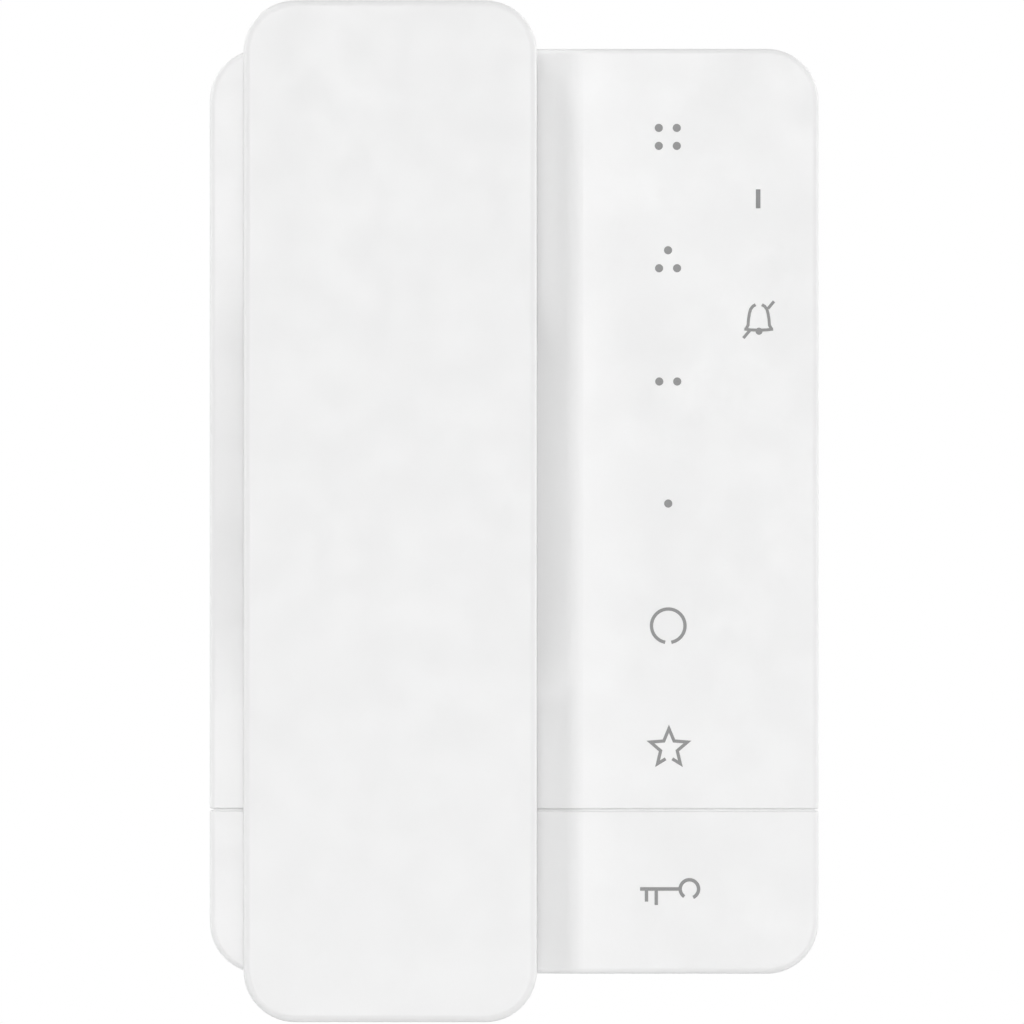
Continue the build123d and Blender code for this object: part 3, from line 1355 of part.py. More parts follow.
with BuildPart() as handset_inner_shell:
    add(handset_body)
    back_edges = handset_inner_shell.edges().filter_by(lambda e: -e.center().Y < parting_depth - overrun)
    left_x = handset_x - handset_width / 2 + handset_corner_radius
    right_x = handset_x + handset_width / 2 - handset_corner_radius
    inner_z = handset_top_z - handset_corner_radius
    rim = back_edges.filter_by(lambda e: not left_x < e.center().X < right_x or abs(e.center().Z) > inner_z)
    fillet(rim.filter_by(lambda e: abs((e % 0).Y) < level_edge_share), handset_edge_radius)
    add(pads)
    add(handset_hollow, mode=Mode.SUBTRACT)
    add(pad_hollows, mode=Mode.SUBTRACT)
    with BuildSketch(front_plane(pad_skin_depth - handset_wall / 2, handset_x, ear_z)):
        Circle(dish_seat_radius)
    extrude(amount=dish_depth + handset_wall / 2)
    with BuildSketch(front_plane(receiver_seat_depth, handset_x, ear_z)):
        Circle(receiver_ring_radius + receiver_wall)
        Circle(receiver_ring_radius, mode=Mode.SUBTRACT)
    extrude(amount=receiver_wall_height)
    with BuildSketch(side_plane(handset_x)):
        with BuildLine():
            edge = Line((pad_depth - overrun, 0), (pad_depth - overrun, dish_radius))
            side = Line(edge @ 1, (pad_depth, dish_radius))
            bowl = ThreePointArc(side @ 1, (dish_mid_depth, dish_radius / 2), (pad_depth + dish_depth, 0))
            Line(bowl @ 1, edge @ 0)
        dish_face = make_face()
    dish_axis = Axis((handset_x, 0, ear_z), (0, -1, 0))
    revolve(dish_face.moved(Location((0, 0, ear_z))), axis=dish_axis, mode=Mode.SUBTRACT)
    with BuildSketch(front_plane(pad_depth, handset_x, ear_z)):
        Circle(ear_hole_radius)
        for ring in range(1, ear_hole_rings + 1):
            with PolarLocations(ring * ear_hole_pitch, 6 * ring):
                Circle(ear_hole_radius)
    extrude(amount=receiver_seat_depth - pad_depth + overrun, mode=Mode.SUBTRACT)
    with BuildSketch(front_plane(pad_skin_depth - overrun / 2, handset_x, mic_z)):
        Circle(mic_ring_radius + mic_wall)
        Circle(mic_ring_radius, mode=Mode.SUBTRACT)
    extrude(amount=mic_wall_height + overrun / 2)
    with BuildSketch(front_plane(pad_depth - overrun, handset_x, mic_z)):
        Circle(mic_hole_radius)
    extrude(amount=handset_wall + 2 * overrun, mode=Mode.SUBTRACT)
    lip_inset = handset_wall + guide_gap
    ring_inset = lip_inset + shell_lip_wall
    with BuildSketch(front_plane(parting_depth - overrun, handset_x)):
        add(front_ring(handset_wall / 2, ring_inset))
    extrude(amount=overrun)
    with BuildSketch(front_plane(parting_depth - overrun, handset_x)):
        add(front_ring(lip_inset, ring_inset))
    extrude(amount=overrun + shell_lip_height)
    with BuildSketch(front_plane(grip_depth + handset_wall / 2)):
        with Locations(*handset_screw_places):
            Circle(handset_screw_head_radius + slip_gap + handset_wall / 2)
    extrude(amount=handset_screw_boss_depth - grip_depth - handset_wall / 2)
    with BuildSketch(front_plane(handset_end_depth)):
        with Locations(*handset_screw_places):
            Circle(handset_screw_head_radius + slip_gap)
    extrude(amount=handset_screw_seat - handset_end_depth, mode=Mode.SUBTRACT)
    with BuildSketch(front_plane(handset_screw_seat)):
        with Locations(*handset_screw_places):
            Circle(handset_screw_radius + running_gap)
    extrude(amount=handset_screw_web + overrun, mode=Mode.SUBTRACT)
    add(handset_jack_cutter.part, mode=Mode.SUBTRACT)
handset_inner_shell.part.label = "handset_inner_shell"
export_step(handset_inner_shell.part, "parts/handset_inner_shell.step")


# Handset front shell: a plain tray with the screw bosses, board posts and a frame for the weight
board_front_depth = front_skin_depth - handset_board_stand
handset_board_back = board_front_depth - handset_board_thickness
board_pin_places = [(handset_x, handset_board_z + side * handset_board_post_pitch / 2) for side in (-1, 1)]
weight_back_depth = front_skin_depth - weight_thickness
with BuildPart() as handset_outer_shell:
    with BuildSketch(front_plane(parting_depth, handset_x)):
        RectangleRounded(handset_width, handset_length, handset_corner_radius)
    extrude(amount=handset_front_depth - parting_depth)
    fillet(handset_outer_shell.faces().sort_by(Axis.Y)[0].edges(), handset_edge_radius)
    chamfer(handset_outer_shell.faces().sort_by(Axis.Y)[-1].edges(), groove_depth)
    with BuildSketch(front_plane(parting_depth - overrun, handset_x)):
        inner_length = handset_length - 2 * handset_wall
        RectangleRounded(handset_width - 2 * handset_wall, inner_length, handset_corner_radius - handset_wall)
    extrude(amount=front_skin_depth - parting_depth + overrun, mode=Mode.SUBTRACT)
    add(handset_jack_cutter.part, mode=Mode.SUBTRACT)
    with BuildSketch(front_plane(handset_screw_boss_depth + guide_gap)):
        with Locations(*handset_screw_places):
            Circle(handset_boss_radius)
    extrude(amount=front_skin_depth - handset_screw_boss_depth)
    with BuildSketch(front_plane(handset_screw_boss_depth)):
        with Locations(*handset_screw_places):
            Circle(handset_screw_radius + running_gap)
    extrude(amount=handset_screw_length - handset_screw_web + running_gap, mode=Mode.SUBTRACT)
    with BuildSketch(front_plane(board_front_depth)):
        with Locations(*board_pin_places):
            Circle(handset_board_post_radius)
    extrude(amount=handset_board_stand + overrun)
    with BuildSketch(front_plane(handset_board_back - handset_board_pin_radius)):
        with Locations(*board_pin_places):
            Circle(handset_board_pin_radius)
    extrude(amount=handset_board_thickness + 2 * handset_board_pin_radius)
    with BuildSketch(front_plane(weight_back_depth + weight_rib, handset_x, weight_z)):
        frame_room = 2 * (slip_gap + weight_rib)
        Rectangle(weight_width + frame_room, weight_length + frame_room)
        Rectangle(weight_width + 2 * slip_gap, weight_length + 2 * slip_gap, mode=Mode.SUBTRACT)
    extrude(amount=weight_thickness)
handset_outer_shell.part.label = "handset_outer_shell"
export_step(handset_outer_shell.part, "parts/handset_outer_shell.step")


# Receiver: gasket ring, felt disc and the capsule with its magnet
with BuildPart() as receiver_gasket:
    with BuildSketch(front_plane(receiver_seat_depth, handset_x, ear_z)):
        Circle(receiver_radius)
        Circle(receiver_gasket_inner_radius, mode=Mode.SUBTRACT)
    extrude(amount=receiver_gasket_thickness)
receiver_gasket.part.label = "receiver_gasket"
export_step(receiver_gasket.part, "parts/receiver_gasket.step")

with BuildPart() as ear_felt:
    with BuildSketch(front_plane(receiver_seat_depth, handset_x, ear_z)):
        Circle(receiver_gasket_inner_radius - slip_gap)
    extrude(amount=felt_thickness)
ear_felt.part.label = "ear_felt"
export_step(ear_felt.part, "parts/ear_felt.step")

with BuildPart() as receiver_capsule:
    with BuildSketch(front_plane(receiver_back_depth, handset_x, ear_z)):
        Circle(receiver_radius)
    extrude(amount=receiver_height - receiver_magnet_height)
    fillet(receiver_capsule.edges().group_by(Axis.Y)[0], receiver_gasket_thickness)
    with BuildSketch(front_plane(receiver_back_depth, handset_x, ear_z)):
        Circle(receiver_magnet_radius)
    extrude(amount=receiver_height)
    with BuildSketch(front_plane(receiver_back_depth - overrun, handset_x, ear_z)):
        Circle(receiver_gasket_inner_radius)
    extrude(amount=overrun + receiver_gasket_thickness, mode=Mode.SUBTRACT)
receiver_capsule.part.label = "receiver_capsule"
export_step(receiver_capsule.part, "parts/receiver_capsule.step")


# Microphone capsule in its rubber boot
with BuildPart() as mic_boot:
    with BuildSketch(front_plane(pad_skin_depth, handset_x, mic_z)):
        Circle(mic_boot_radius)
    extrude(amount=mic_boot_floor + mic_height)
    with BuildSketch(front_plane(pad_skin_depth + mic_boot_floor, handset_x, mic_z)):
        Circle(mic_radius + running_gap)
    extrude(amount=mic_height + overrun, mode=Mode.SUBTRACT)
    with BuildSketch(front_plane(pad_skin_depth - overrun, handset_x, mic_z)):
        Circle(mic_hole_radius)
    extrude(amount=mic_boot_floor + 2 * overrun, mode=Mode.SUBTRACT)
mic_boot.part.label = "mic_boot"
export_step(mic_boot.part, "parts/mic_boot.step")

with BuildPart() as mic_capsule:
    with BuildSketch(front_plane(pad_skin_depth + mic_boot_floor, handset_x, mic_z)):
        Circle(mic_radius)
    extrude(amount=mic_height)
    fillet(mic_capsule.edges().group_by(Axis.Y)[0], mic_boot_floor / 2)
mic_capsule.part.label = "mic_capsule"
export_step(mic_capsule.part, "parts/mic_capsule.step")


# Handset board on the front shell's pins, and the weight that seats the handset
with BuildPart() as handset_board:
    with BuildSketch(front_plane(handset_board_back)):
        with Locations((handset_x, handset_board_z)):
            RectangleRounded(handset_board_width, handset_board_length, board_corner_radius)
        with Locations(*board_pin_places):
            Circle(handset_board_pin_radius + running_gap, mode=Mode.SUBTRACT)
    extrude(amount=handset_board_thickness)
handset_board.part.label = "handset_board"
export_step(handset_board.part, "parts/handset_board.step")

with BuildPart() as balance_weight:
    with BuildSketch(front_plane(weight_back_depth, handset_x, weight_z)):
        RectangleRounded(weight_width, weight_length, weight_rib)
    extrude(amount=weight_thickness)
    chamfer(balance_weight.faces().sort_by(Axis.Y)[-1].edges(), weight_rib / 3)
balance_weight.part.label = "balance_weight"
export_step(balance_weight.part, "parts/balance_weight.step")


# Screws that join the handset's shells, sunk in the back of the grip
with BuildPart() as handset_screws:
    for x, z in handset_screw_places:
        seat = back_plane(handset_screw_seat, x, z)
        screw = pan_screw(
            seat,
            handset_screw_head_radius,
            handset_screw_head_height,
            handset_screw_radius,
            handset_screw_length,
        )
        add(screw)
handset_screws.part.label = "handset_screws"
export_step(handset_screws.part, "parts/handset_screws.step")


# Handset cord socket in the handset's lower end
handset_jack = cord_socket(handset_x, handset_jack_depth, -handset_top_z)
handset_jack.label = "handset_jack"
export_step(handset_jack, "parts/handset_jack.step")
handset_jack_contacts = cord_contacts(handset_x, handset_jack_depth, -handset_top_z)
handset_jack_contacts.label = "handset_jack_contacts"
export_step(handset_jack_contacts, "parts/handset_jack_contacts.step")
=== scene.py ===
import json
from math import cos, pi, radians, sin

import bmesh
import bpy
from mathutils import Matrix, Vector
from mathutils.geometry import delaunay_2d_cdt


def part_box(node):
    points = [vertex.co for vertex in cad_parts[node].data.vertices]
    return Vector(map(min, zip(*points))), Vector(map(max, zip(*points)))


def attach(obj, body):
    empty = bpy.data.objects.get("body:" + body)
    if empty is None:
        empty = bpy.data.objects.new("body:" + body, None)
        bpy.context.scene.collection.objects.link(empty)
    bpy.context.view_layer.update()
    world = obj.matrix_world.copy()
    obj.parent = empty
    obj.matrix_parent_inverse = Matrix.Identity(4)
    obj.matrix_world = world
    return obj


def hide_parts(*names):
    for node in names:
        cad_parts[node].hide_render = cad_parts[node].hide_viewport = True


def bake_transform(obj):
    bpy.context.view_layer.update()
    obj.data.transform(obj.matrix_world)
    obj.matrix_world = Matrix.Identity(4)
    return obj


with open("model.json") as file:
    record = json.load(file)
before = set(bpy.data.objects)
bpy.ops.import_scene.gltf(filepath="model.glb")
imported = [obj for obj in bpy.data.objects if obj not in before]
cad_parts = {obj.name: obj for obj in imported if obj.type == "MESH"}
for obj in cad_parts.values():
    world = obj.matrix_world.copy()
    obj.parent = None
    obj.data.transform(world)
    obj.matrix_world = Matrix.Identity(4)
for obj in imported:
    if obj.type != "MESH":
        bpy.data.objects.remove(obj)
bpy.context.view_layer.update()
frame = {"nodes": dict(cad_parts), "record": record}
nodes = frame["nodes"]

MM = 0.001


def placed(name, data):
    """A new object in the scene, at the origin."""
    made = bpy.data.objects.new(name, data)
    bpy.context.scene.collection.objects.link(made)
    return made


def middle_of(node):
    """The middle of that node's box, in millimetres."""
    lows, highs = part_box(node)
    return (lows + highs) / 2 / MM


# Camera: straight on to the wall from far off, so that the handset's front and the base keep one
# scale. The picture is 177.94 mm wide at the plane that lies 38 mm in front of the wall.
CAMERA_DISTANCE = 8.0
CAMERA_X = -0.35 * MM
CAMERA_Z = -0.12 * MM
PICTURE_WIDTH = 177.94 * MM
PICTURE_PLANE = 38 * MM
SENSOR_WIDTH = 36.0
FARTHEST_SEEN = 100.0

camera = placed("camera", bpy.data.cameras.new("camera"))
camera.location = (CAMERA_X, -CAMERA_DISTANCE, CAMERA_Z)
camera.rotation_euler = (radians(90), 0, 0)
camera.data.sensor_width = SENSOR_WIDTH
camera.data.lens = SENSOR_WIDTH * (CAMERA_DISTANCE - PICTURE_PLANE) / PICTURE_WIDTH
camera.data.clip_end = FARTHEST_SEEN
bpy.context.scene.camera = camera
bpy.context.scene.view_settings.view_transform = "Standard"


class Wire:
    """A socket of a node tree. Sums and products of wires add the Math nodes that work them out."""

    def __init__(self, owner, socket):
        self.owner = owner
        self.socket = socket

    def __getitem__(self, output):
        return Wire(self.owner, self.socket.node.outputs[output])

    def maths(self, operation, *values):
        return self.owner.node("ShaderNodeMath", {"operation": operation}, *values)

    def __add__(self, other):
        return self.maths("ADD", self, other)

    def __sub__(self, other):
        return self.maths("SUBTRACT", self, other)

    def __rsub__(self, other):
        return self.maths("SUBTRACT", other, self)

    def __mul__(self, other):
        return self.maths("MULTIPLY", self, other)

    def __truediv__(self, other):
        return self.maths("DIVIDE", self, other)

    def __pow__(self, other):
        return self.maths("POWER", self, other)

    def __gt__(self, other):
        return self.maths("GREATER_THAN", self, other)

    def __abs__(self):
        return self.maths("ABSOLUTE", self)

    __radd__ = __add__
    __rmul__ = __mul__

    def wave(self, pitch):
        """From -1 to 1 and back once in each pitch."""
        return self.maths("SINE", self * (2 * pi / pitch))


class Tree:
    """A node tree, which grows by node()."""

    def __init__(self, tree):
        self.tree = tree

    def node(self, kind, settings=None, *values, **named):
        """A new node with its settings, and then the values or wires of its sockets. They come in
        the sockets' order, or by their names with _ for a space."""
        made = self.tree.nodes.new(kind)
        for key, value in (settings or {}).items():
            setattr(made, key, value)
        for socket, value in zip([s for s in made.inputs if s.enabled], values):
            self.join(value, socket)
        for key, value in named.items():
            self.join(value, made.inputs[key.replace("_", " ")])
        return Wire(self, next((s for s in made.outputs if s.enabled), None))

    def join(self, value, socket):
        if isinstance(value, Wire):
            self.tree.links.new(value.socket, socket)
        else:
            socket.default_value = value

    def split(self, vector):
        parts = self.node("ShaderNodeSeparateXYZ", None, vector)
        return parts["X"], parts["Y"], parts["Z"]


class Finish(Tree):
    """A material whose look comes from nodes on the piece's own place, in millimetres."""

    def __init__(self, name, **settings):
        self.material = bpy.data.materials.new(name)
        self.material.use_nodes = True
        super().__init__(self.material.node_tree)
        self.tree.nodes.clear()
        self.shader = self.tree.nodes.new("ShaderNodeBsdfPrincipled")
        self.output = self.tree.nodes.new("ShaderNodeOutputMaterial")
        self.surface = Wire(self, self.shader.outputs[0])
        self.show(self.surface)
        coordinates = self.node("ShaderNodeTexCoord")
        self.normal = coordinates["Normal"]
        self.place = self.node(
            "ShaderNodeVectorMath", {"operation": "SCALE"}, coordinates["Object"], Scale=1 / MM)
        self.put(**settings)

    def show(self, surface):
        self.join(surface, self.output.inputs["Surface"])

    def put(self, **settings):
        """Values or wires for the shader's sockets, with _ for a space in their names."""
        for key, value in settings.items():
            self.join(value, self.shader.inputs[key.replace("_", " ")])

    def noise(self, size, detail=2.0, stretch=(1.0, 1.0, 1.0), **more):
        """Noise from 0 to 1 whose lumps are about this many millimetres across."""
        place = self.node(
            "ShaderNodeVectorMath", {"operation": "MULTIPLY"}, self.place, stretch)
        return self.node(
            "ShaderNodeTexNoise", None, Vector=place, Scale=1 / size, Detail=detail, **more)

    def grains(self, size):
        """A level from 0 to 1 for each crystal, in crystals about this many millimetres across."""
        cells = self.node("ShaderNodeTexVoronoi", None, Vector=self.place, Scale=1 / size)
        return self.split(cells["Color"])[0]

    def spread(self, wire, low, high, start=0.0, end=1.0):
        """The wire's run from start to end, turned into one from low to high and held there."""
        kind = {"interpolation_type": "SMOOTHSTEP", "clamp": True}
        return self.node("ShaderNodeMapRange", kind, wire, start, end, low, high)

    def rise(self, wire, start=0.3, end=0.7):
        """0 where the wire is below the start, and 1 where it is past the end."""
        return self.spread(wire, 0, 1, start, end)

    def fall(self, wire, start, end):
        """1 where the wire is below the start, and 0 where it is past the end."""
        return self.spread(wire, 1, 0, start, end)

    def blend(self, share, first, second):
        """The first colour where the share is 0 and the second where it is 1."""
        made = self.node("ShaderNodeMix", {"data_type": "RGBA"}, Factor=share)
        a, b = [s for s in made.socket.node.inputs if s.type == "RGBA"]
        self.join(first, a)
        self.join(second, b)
        return made

    def from_axis(self, across, along):
        """Millimetres from an axis that runs through the wall at this place."""
        x, _, z = self.split(self.place)
        return ((x - across) ** 2 + (z - along) ** 2) ** 0.5

    def relief(self, height, depth):
        """A height from 0 to 1 that stands this many millimetres deep in the surface."""
        self.put(Normal=self.node("ShaderNodeBump", None, Height=height, Distance=depth * MM))


def grey(level):
    return (level, level, level, 1.0)


def shade(colour, factor):
    return tuple(min(1.0, c * factor) for c in colour) + (1.0,)


# Finishes. The sizes in them are millimetres. Their colours are those of the record's slots, and
# these, as the darkest and the palest tone of a finish or as its one colour.
LAMINATE_PLIES = (0.50, 0.44, 0.26, 1), (0.62, 0.57, 0.38, 1)
MASKED_COPPER = (0.09, 0.36, 0.19, 1), (0.11, 0.41, 0.22, 1)
AMBER_TAPE = (0.62, 0.42, 0.10, 1), (0.74, 0.53, 0.16, 1)
CONE_PAPER = grey(0.035), grey(0.06)
CAN_ALUMINIUM = grey(0.72), grey(0.8)
SLEEVE_STRIPE = (0.62, 0.64, 0.68, 1)
CLEAR_PLASTIC = (0.18, 0.18, 0.185)
SOLDER_TIN = (0.74, 0.74, 0.75)

recorded = {m["slot"]: tuple(m["base_color"]) for m in frame["record"]["materials"]}


def moulded(slot, roughness=0.42, grain=0.35, grain_depth=0.01, colour=None):
    """Injection-moulded plastic: an eroded mould's fine grain, and flow that shades it faintly."""
    colour = colour or recorded[slot]
    finish = Finish(slot)
    skin = finish.noise(grain, 2.5)
    flow = finish.rise(finish.noise(22, 3, Distortion=0.6))
    finish.put(Base_Color=finish.blend(flow, shade(colour, 0.996), shade(colour, 1.003)))
    wear = finish.spread(finish.noise(7, 3), -0.03, 0.04, 0.3, 0.7)
    matt = finish.spread(skin, roughness - 0.03, roughness + 0.05, 0.35, 0.65)
    finish.put(Roughness=wear + matt)
    finish.relief(skin * 0.75 + finish.noise(grain * 3.4, 1.5) * 0.25, grain_depth)
    return finish.material


def zinc_sheet(slot):
    """Galvanised sheet: small frost-like crystals, rolling lines along Z and a few dull touches."""
    colour = recorded[slot]
    finish = Finish(slot, Metallic=1.0)
    crystals = finish.grains(1.2) * 0.55 + finish.grains(0.5) * 0.3 + finish.noise(8, 4) * 0.15
    finish.put(Base_Color=finish.blend(crystals, shade(colour, 0.82), shade(colour, 0.92)))
    lines = finish.noise(0.4, 2, stretch=(1.0, 1.0, 0.03))
    touched = finish.spread(finish.noise(9, 4), 0.0, 0.05, 0.6, 0.8)
    finish.put(Roughness=touched + crystals * 0.06 + lines * 0.06 + 0.4)
    finish.relief(lines * 0.6 + finish.noise(0.25, 2) * 0.4, 0.004)
    return finish.material


def bare_metal(slot, roughness=0.3, grain=0.2, stretch=(1.0, 1.0, 1.0), colour=None):
    """Turned, drawn or stamped metal with fine marks and a slightly uneven tone."""
    colour = colour or recorded[slot]
    finish = Finish(slot, Metallic=1.0)
    marks = finish.noise(grain, 3, stretch=stretch)
    cloud = finish.rise(finish.noise(3, 3))
    finish.put(Base_Color=finish.blend(cloud, shade(colour, 0.84), shade(colour, 1.0)))
    finish.put(Roughness=finish.spread(marks, roughness - 0.06, roughness + 0.12, 0.3, 0.7))
    finish.relief(marks, 0.006)
    return finish.material


def laminate(slot):
    """Glass laminate: a green mask over its weave, and the straw-coloured core at its cut edges."""
    colour = recorded[slot]
    finish = Finish(slot, Coat_Weight=0.2, Coat_Roughness=0.15)
    face = finish.rise(abs(finish.split(finish.normal)[1]), 0.6, 0.8)
    x, y, z = finish.split(finish.place)
    weave = x.wave(0.7) * z.wave(0.7) * 0.5 + 0.5
    cloud = finish.rise(finish.noise(14, 3) * 0.7 + weave * 0.3)
    mask = finish.blend(cloud, shade(colour, 0.82), shade(colour, 1.05))
    plies = finish.blend(y.wave(0.2) * 0.5 + 0.5, *LAMINATE_PLIES)
    finish.put(Base_Color=finish.blend(face, plies, mask))
    finish.put(Roughness=finish.spread(face, 0.7, 0.34))
    finish.relief(weave, 0.006)
    return finish.material


def masked_copper():
    """Copper tracks under the green mask: a paler green, with their edges rounded by the mask."""
    finish = Finish("masked_copper", Coat_Weight=0.2, Coat_Roughness=0.15)
    cloud = finish.rise(finish.noise(5, 3))
    finish.put(Base_Color=finish.blend(cloud, *MASKED_COPPER))
    finish.put(Roughness=finish.spread(finish.noise(0.5), 0.26, 0.36, 0.3, 0.7))
    finish.relief(finish.noise(0.8, 2), 0.004)
    return finish.material


def soft_rubber(slot):
    """Dark rubber with a matt skin and a pale bloom here and there."""
    colour = recorded[slot]
    finish = Finish(slot)
    skin = finish.noise(0.3, 2)
    bloom = finish.spread(finish.noise(4, 4), 0, 0.6, 0.35, 0.75)
    finish.put(Base_Color=finish.blend(bloom, shade(colour, 1.0), shade(colour, 1.9)))
    finish.put(Roughness=finish.spread(skin, 0.62, 0.82, 0.3, 0.7))
    finish.relief(skin, 0.02)
    return finish.material


def pressed_felt(slot):
    """Felt of tangled fibres, with painted shade in the low gaps between them and paler raised
    tips.
    """
    colour = recorded[slot]
    finish = Finish(slot)
    fibres = finish.noise(0.18, 4, stretch=(1.0, 0.6, 1.7), Distortion=1.5)
    # Painted shade: the colour darkens where the fibres' bump is low, in the gaps, and pales on the
    # raised tips
    tips = finish.rise(fibres, 0.4, 0.65)
    finish.put(Base_Color=finish.blend(tips, shade(colour, 0.8), shade(colour, 2.2)))
    finish.put(Roughness=finish.spread(fibres, 1.0, 0.86, 0.3, 0.7))
    finish.relief(fibres, 0.08)
    return finish.material


def speaker(name, node, radius):
    """A pressed steel basket round a dark paper cone with rolled rings, centred on that node."""
    steel = recorded["speaker_metal"]
    middle = middle_of(node)
    finish = Finish(name)
    away = finish.from_axis(middle.x, middle.z)
    facing = finish.split(finish.normal)[1]
    cone = finish.fall(away, radius - 0.1, radius) * finish.fall(facing, -0.6, -0.3)
    rolls = away.wave(radius / 7) * finish.rise(away, radius * 0.5, radius * 0.58)
    fibres = finish.noise(0.3, 4)
    paper = finish.blend(fibres, *CONE_PAPER)
    pressed = finish.blend(finish.noise(3, 3), shade(steel, 0.85), shade(steel, 1.1))
    finish.put(Base_Color=finish.blend(cone, pressed, paper), Metallic=1 - cone)
    finish.put(Roughness=finish.spread(cone, 0.38, 0.7) + fibres * 0.08)
    finish.relief(rolls * cone * 0.5 + fibres * 0.08 + 0.5, 0.25)
    return finish.material


def wound_transformer(slot, coil_half_width, coil_swell):
    """A core of thin steel sheets, and amber tape round the coil that stands proud of it."""
    colour = recorded[slot]
    lows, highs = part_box("line_transformer")
    middle = middle_of("line_transformer")
    core_half_height = highs.z / MM - middle.z - coil_swell
    core_front = lows.y / MM + coil_swell
    finish = Finish(slot)
    x, y, z = finish.split(finish.place)
    proud = (abs(z - middle.z) > core_half_height + 0.01) + (core_front - y > 0.01)
    beside = coil_half_width + 0.02 - abs(x - middle.x) > 0
    tape = finish.rise(proud, 0.2, 0.8) * beside
    sheets = y.wave(0.35) * 0.5 + 0.5
    steel = finish.blend(
        finish.rise(sheets, 0.1, 0.5), shade(colour, 0.35), shade(colour, 1.3))
    wrap = finish.blend(finish.noise(2, 3), *AMBER_TAPE)
    finish.put(Base_Color=finish.blend(tape, steel, wrap), Metallic=0.7 - tape * 0.7)
    finish.put(Roughness=finish.spread(tape, 0.5, 0.3) + finish.noise(0.4) * 0.06)
    finish.relief(sheets * (1 - tape), 0.03)
    return finish.material


def sleeved_cans(slot, end_radius):
    """Two capacitors, one over the other: aluminium ends with a cross scored in them, in dark
    sleeves with a pale stripe."""
    colour = recorded[slot]
    lows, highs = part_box("capacitors")
    middle = middle_of("capacitors")
    can_radius = (highs.x - lows.x) / 2 / MM
    low_axis = lows.z / MM + can_radius
    high_axis = highs.z / MM - can_radius
    front = lows.y / MM
    finish = Finish(slot)
    x, y, z = finish.split(finish.place)
    across = x - middle.x
    upper = z > (low_axis + high_axis) / 2
    along = z - (low_axis + upper * (high_axis - low_axis))
    away = (across ** 2 + along ** 2) ** 0.5
    rolled_rim = finish.fall(away, end_radius - 0.05, end_radius + 0.05)
    end = finish.fall(y, front + 0.02, front + 0.1) * rolled_rim
    stripe = finish.rise(across / (away + 0.01), 0.84, 0.87) * (1 - end)
    score = finish.fall(abs(across), 0.1, 0.2) + finish.fall(abs(along), 0.1, 0.2)
    sleeve = finish.blend(stripe, shade(colour, 1.0), SLEEVE_STRIPE)
    can = finish.blend(finish.noise(0.6, 3), *CAN_ALUMINIUM)
    finish.put(Base_Color=finish.blend(end, sleeve, can), Metallic=end)
    finish.put(Roughness=finish.spread(end, 0.24, 0.34) + finish.noise(0.5) * 0.05)
    finish.relief(1 - score * end * 0.5, 0.12)
    return finish.material


def printed_ink(name, grain, dark, light, dullest):
    """Ink that sinks a little into the grain of what it is printed on."""
    finish = Finish(name)
    speckle = finish.noise(grain, 3)
    finish.put(Base_Color=finish.blend(finish.rise(speckle), grey(dark), grey(light)))
    finish.put(Roughness=finish.spread(speckle, 0.5, dullest, 0.3, 0.7))
    finish.relief(speckle, 0.01)
    return finish.material


CONE_RADIUS = 12.6
MIC_RADIUS = 4.2
COIL_HALF_WIDTH = 4.5
COIL_SWELL = 1.5
CAN_END_RADIUS = 3.2

# By slot, and by node for the three sound parts, whose cones lie in different places
finishes = {
    "cover_plastic": moulded("cover_plastic"),
    "handset_plastic": moulded("handset_plastic"),
    "shell_plastic": moulded("shell_plastic", roughness=0.5, grain=0.5, grain_depth=0.014),
    "zinc_steel": zinc_sheet("zinc_steel"),
    "screw_steel": bare_metal("screw_steel"),
    "board_laminate": laminate("board_laminate"),
    "copper": bare_metal("copper"),
    "clear_plastic": moulded("clear_plastic", roughness=0.38, colour=CLEAR_PLASTIC),
    "lamp_white": moulded("lamp_white", roughness=0.25),
    "black_plastic": moulded("black_plastic", roughness=0.45, grain=0.25, grain_depth=0.015),
    "rubber": soft_rubber("rubber"),
    "spring_steel": bare_metal("spring_steel", roughness=0.22, grain=0.1),
    "terminal_plastic": moulded("terminal_plastic", roughness=0.36, grain=0.3, grain_depth=0.012),
    "transformer_steel": wound_transformer("transformer_steel", COIL_HALF_WIDTH, COIL_SWELL),
    "capacitor_sleeve": sleeved_cans("capacitor_sleeve", CAN_END_RADIUS),
    "socket_plastic": moulded("socket_plastic", roughness=0.35),
    "contact_gold": bare_metal("contact_gold", roughness=0.2, grain=0.1),
    "stem_plastic": moulded("stem_plastic", roughness=0.35),
    "felt": pressed_felt("felt"),
    "weight_steel": bare_metal("weight_steel", roughness=0.45, grain=0.6, stretch=(1.0, 1.0, 0.1)),
    "ringer_speaker": speaker("ringer_cone", "ringer_speaker", CONE_RADIUS),
    "receiver_capsule": speaker("receiver_cone", "receiver_capsule", CONE_RADIUS),
    "mic_capsule": speaker("mic_cone", "mic_capsule", MIC_RADIUS),
}
for name, node in nodes.items():
    slot = node.data.materials[0].name.split(".")[0]
    node.data.materials[0] = finishes[name if name in finishes else slot]


# The springs, which the key and the plunger press
MERGE_DISTANCE = 1e-6
CREASE_ANGLE = radians(50)


def working_springs(name, node):
    """The node's springs as smooth wire, in a piece of their own that stands in for the hidden
    node."""
    mesh = bmesh.new()
    mesh.from_mesh(nodes[node].data)
    bmesh.ops.remove_doubles(mesh, verts=mesh.verts[:], dist=MERGE_DISTANCE)
    wire = bpy.data.meshes.new(name)
    mesh.to_mesh(wire)
    mesh.free()
    wire.shade_smooth()
    wire.set_sharp_from_angle(angle=CREASE_ANGLE)
    wire.materials.append(finishes["spring_steel"])
    piece = placed(name, wire)
    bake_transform(piece)
    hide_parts(node)


working_springs("key_spring_wires", "key_springs")
working_springs("hook_spring_wire", "hook_spring")


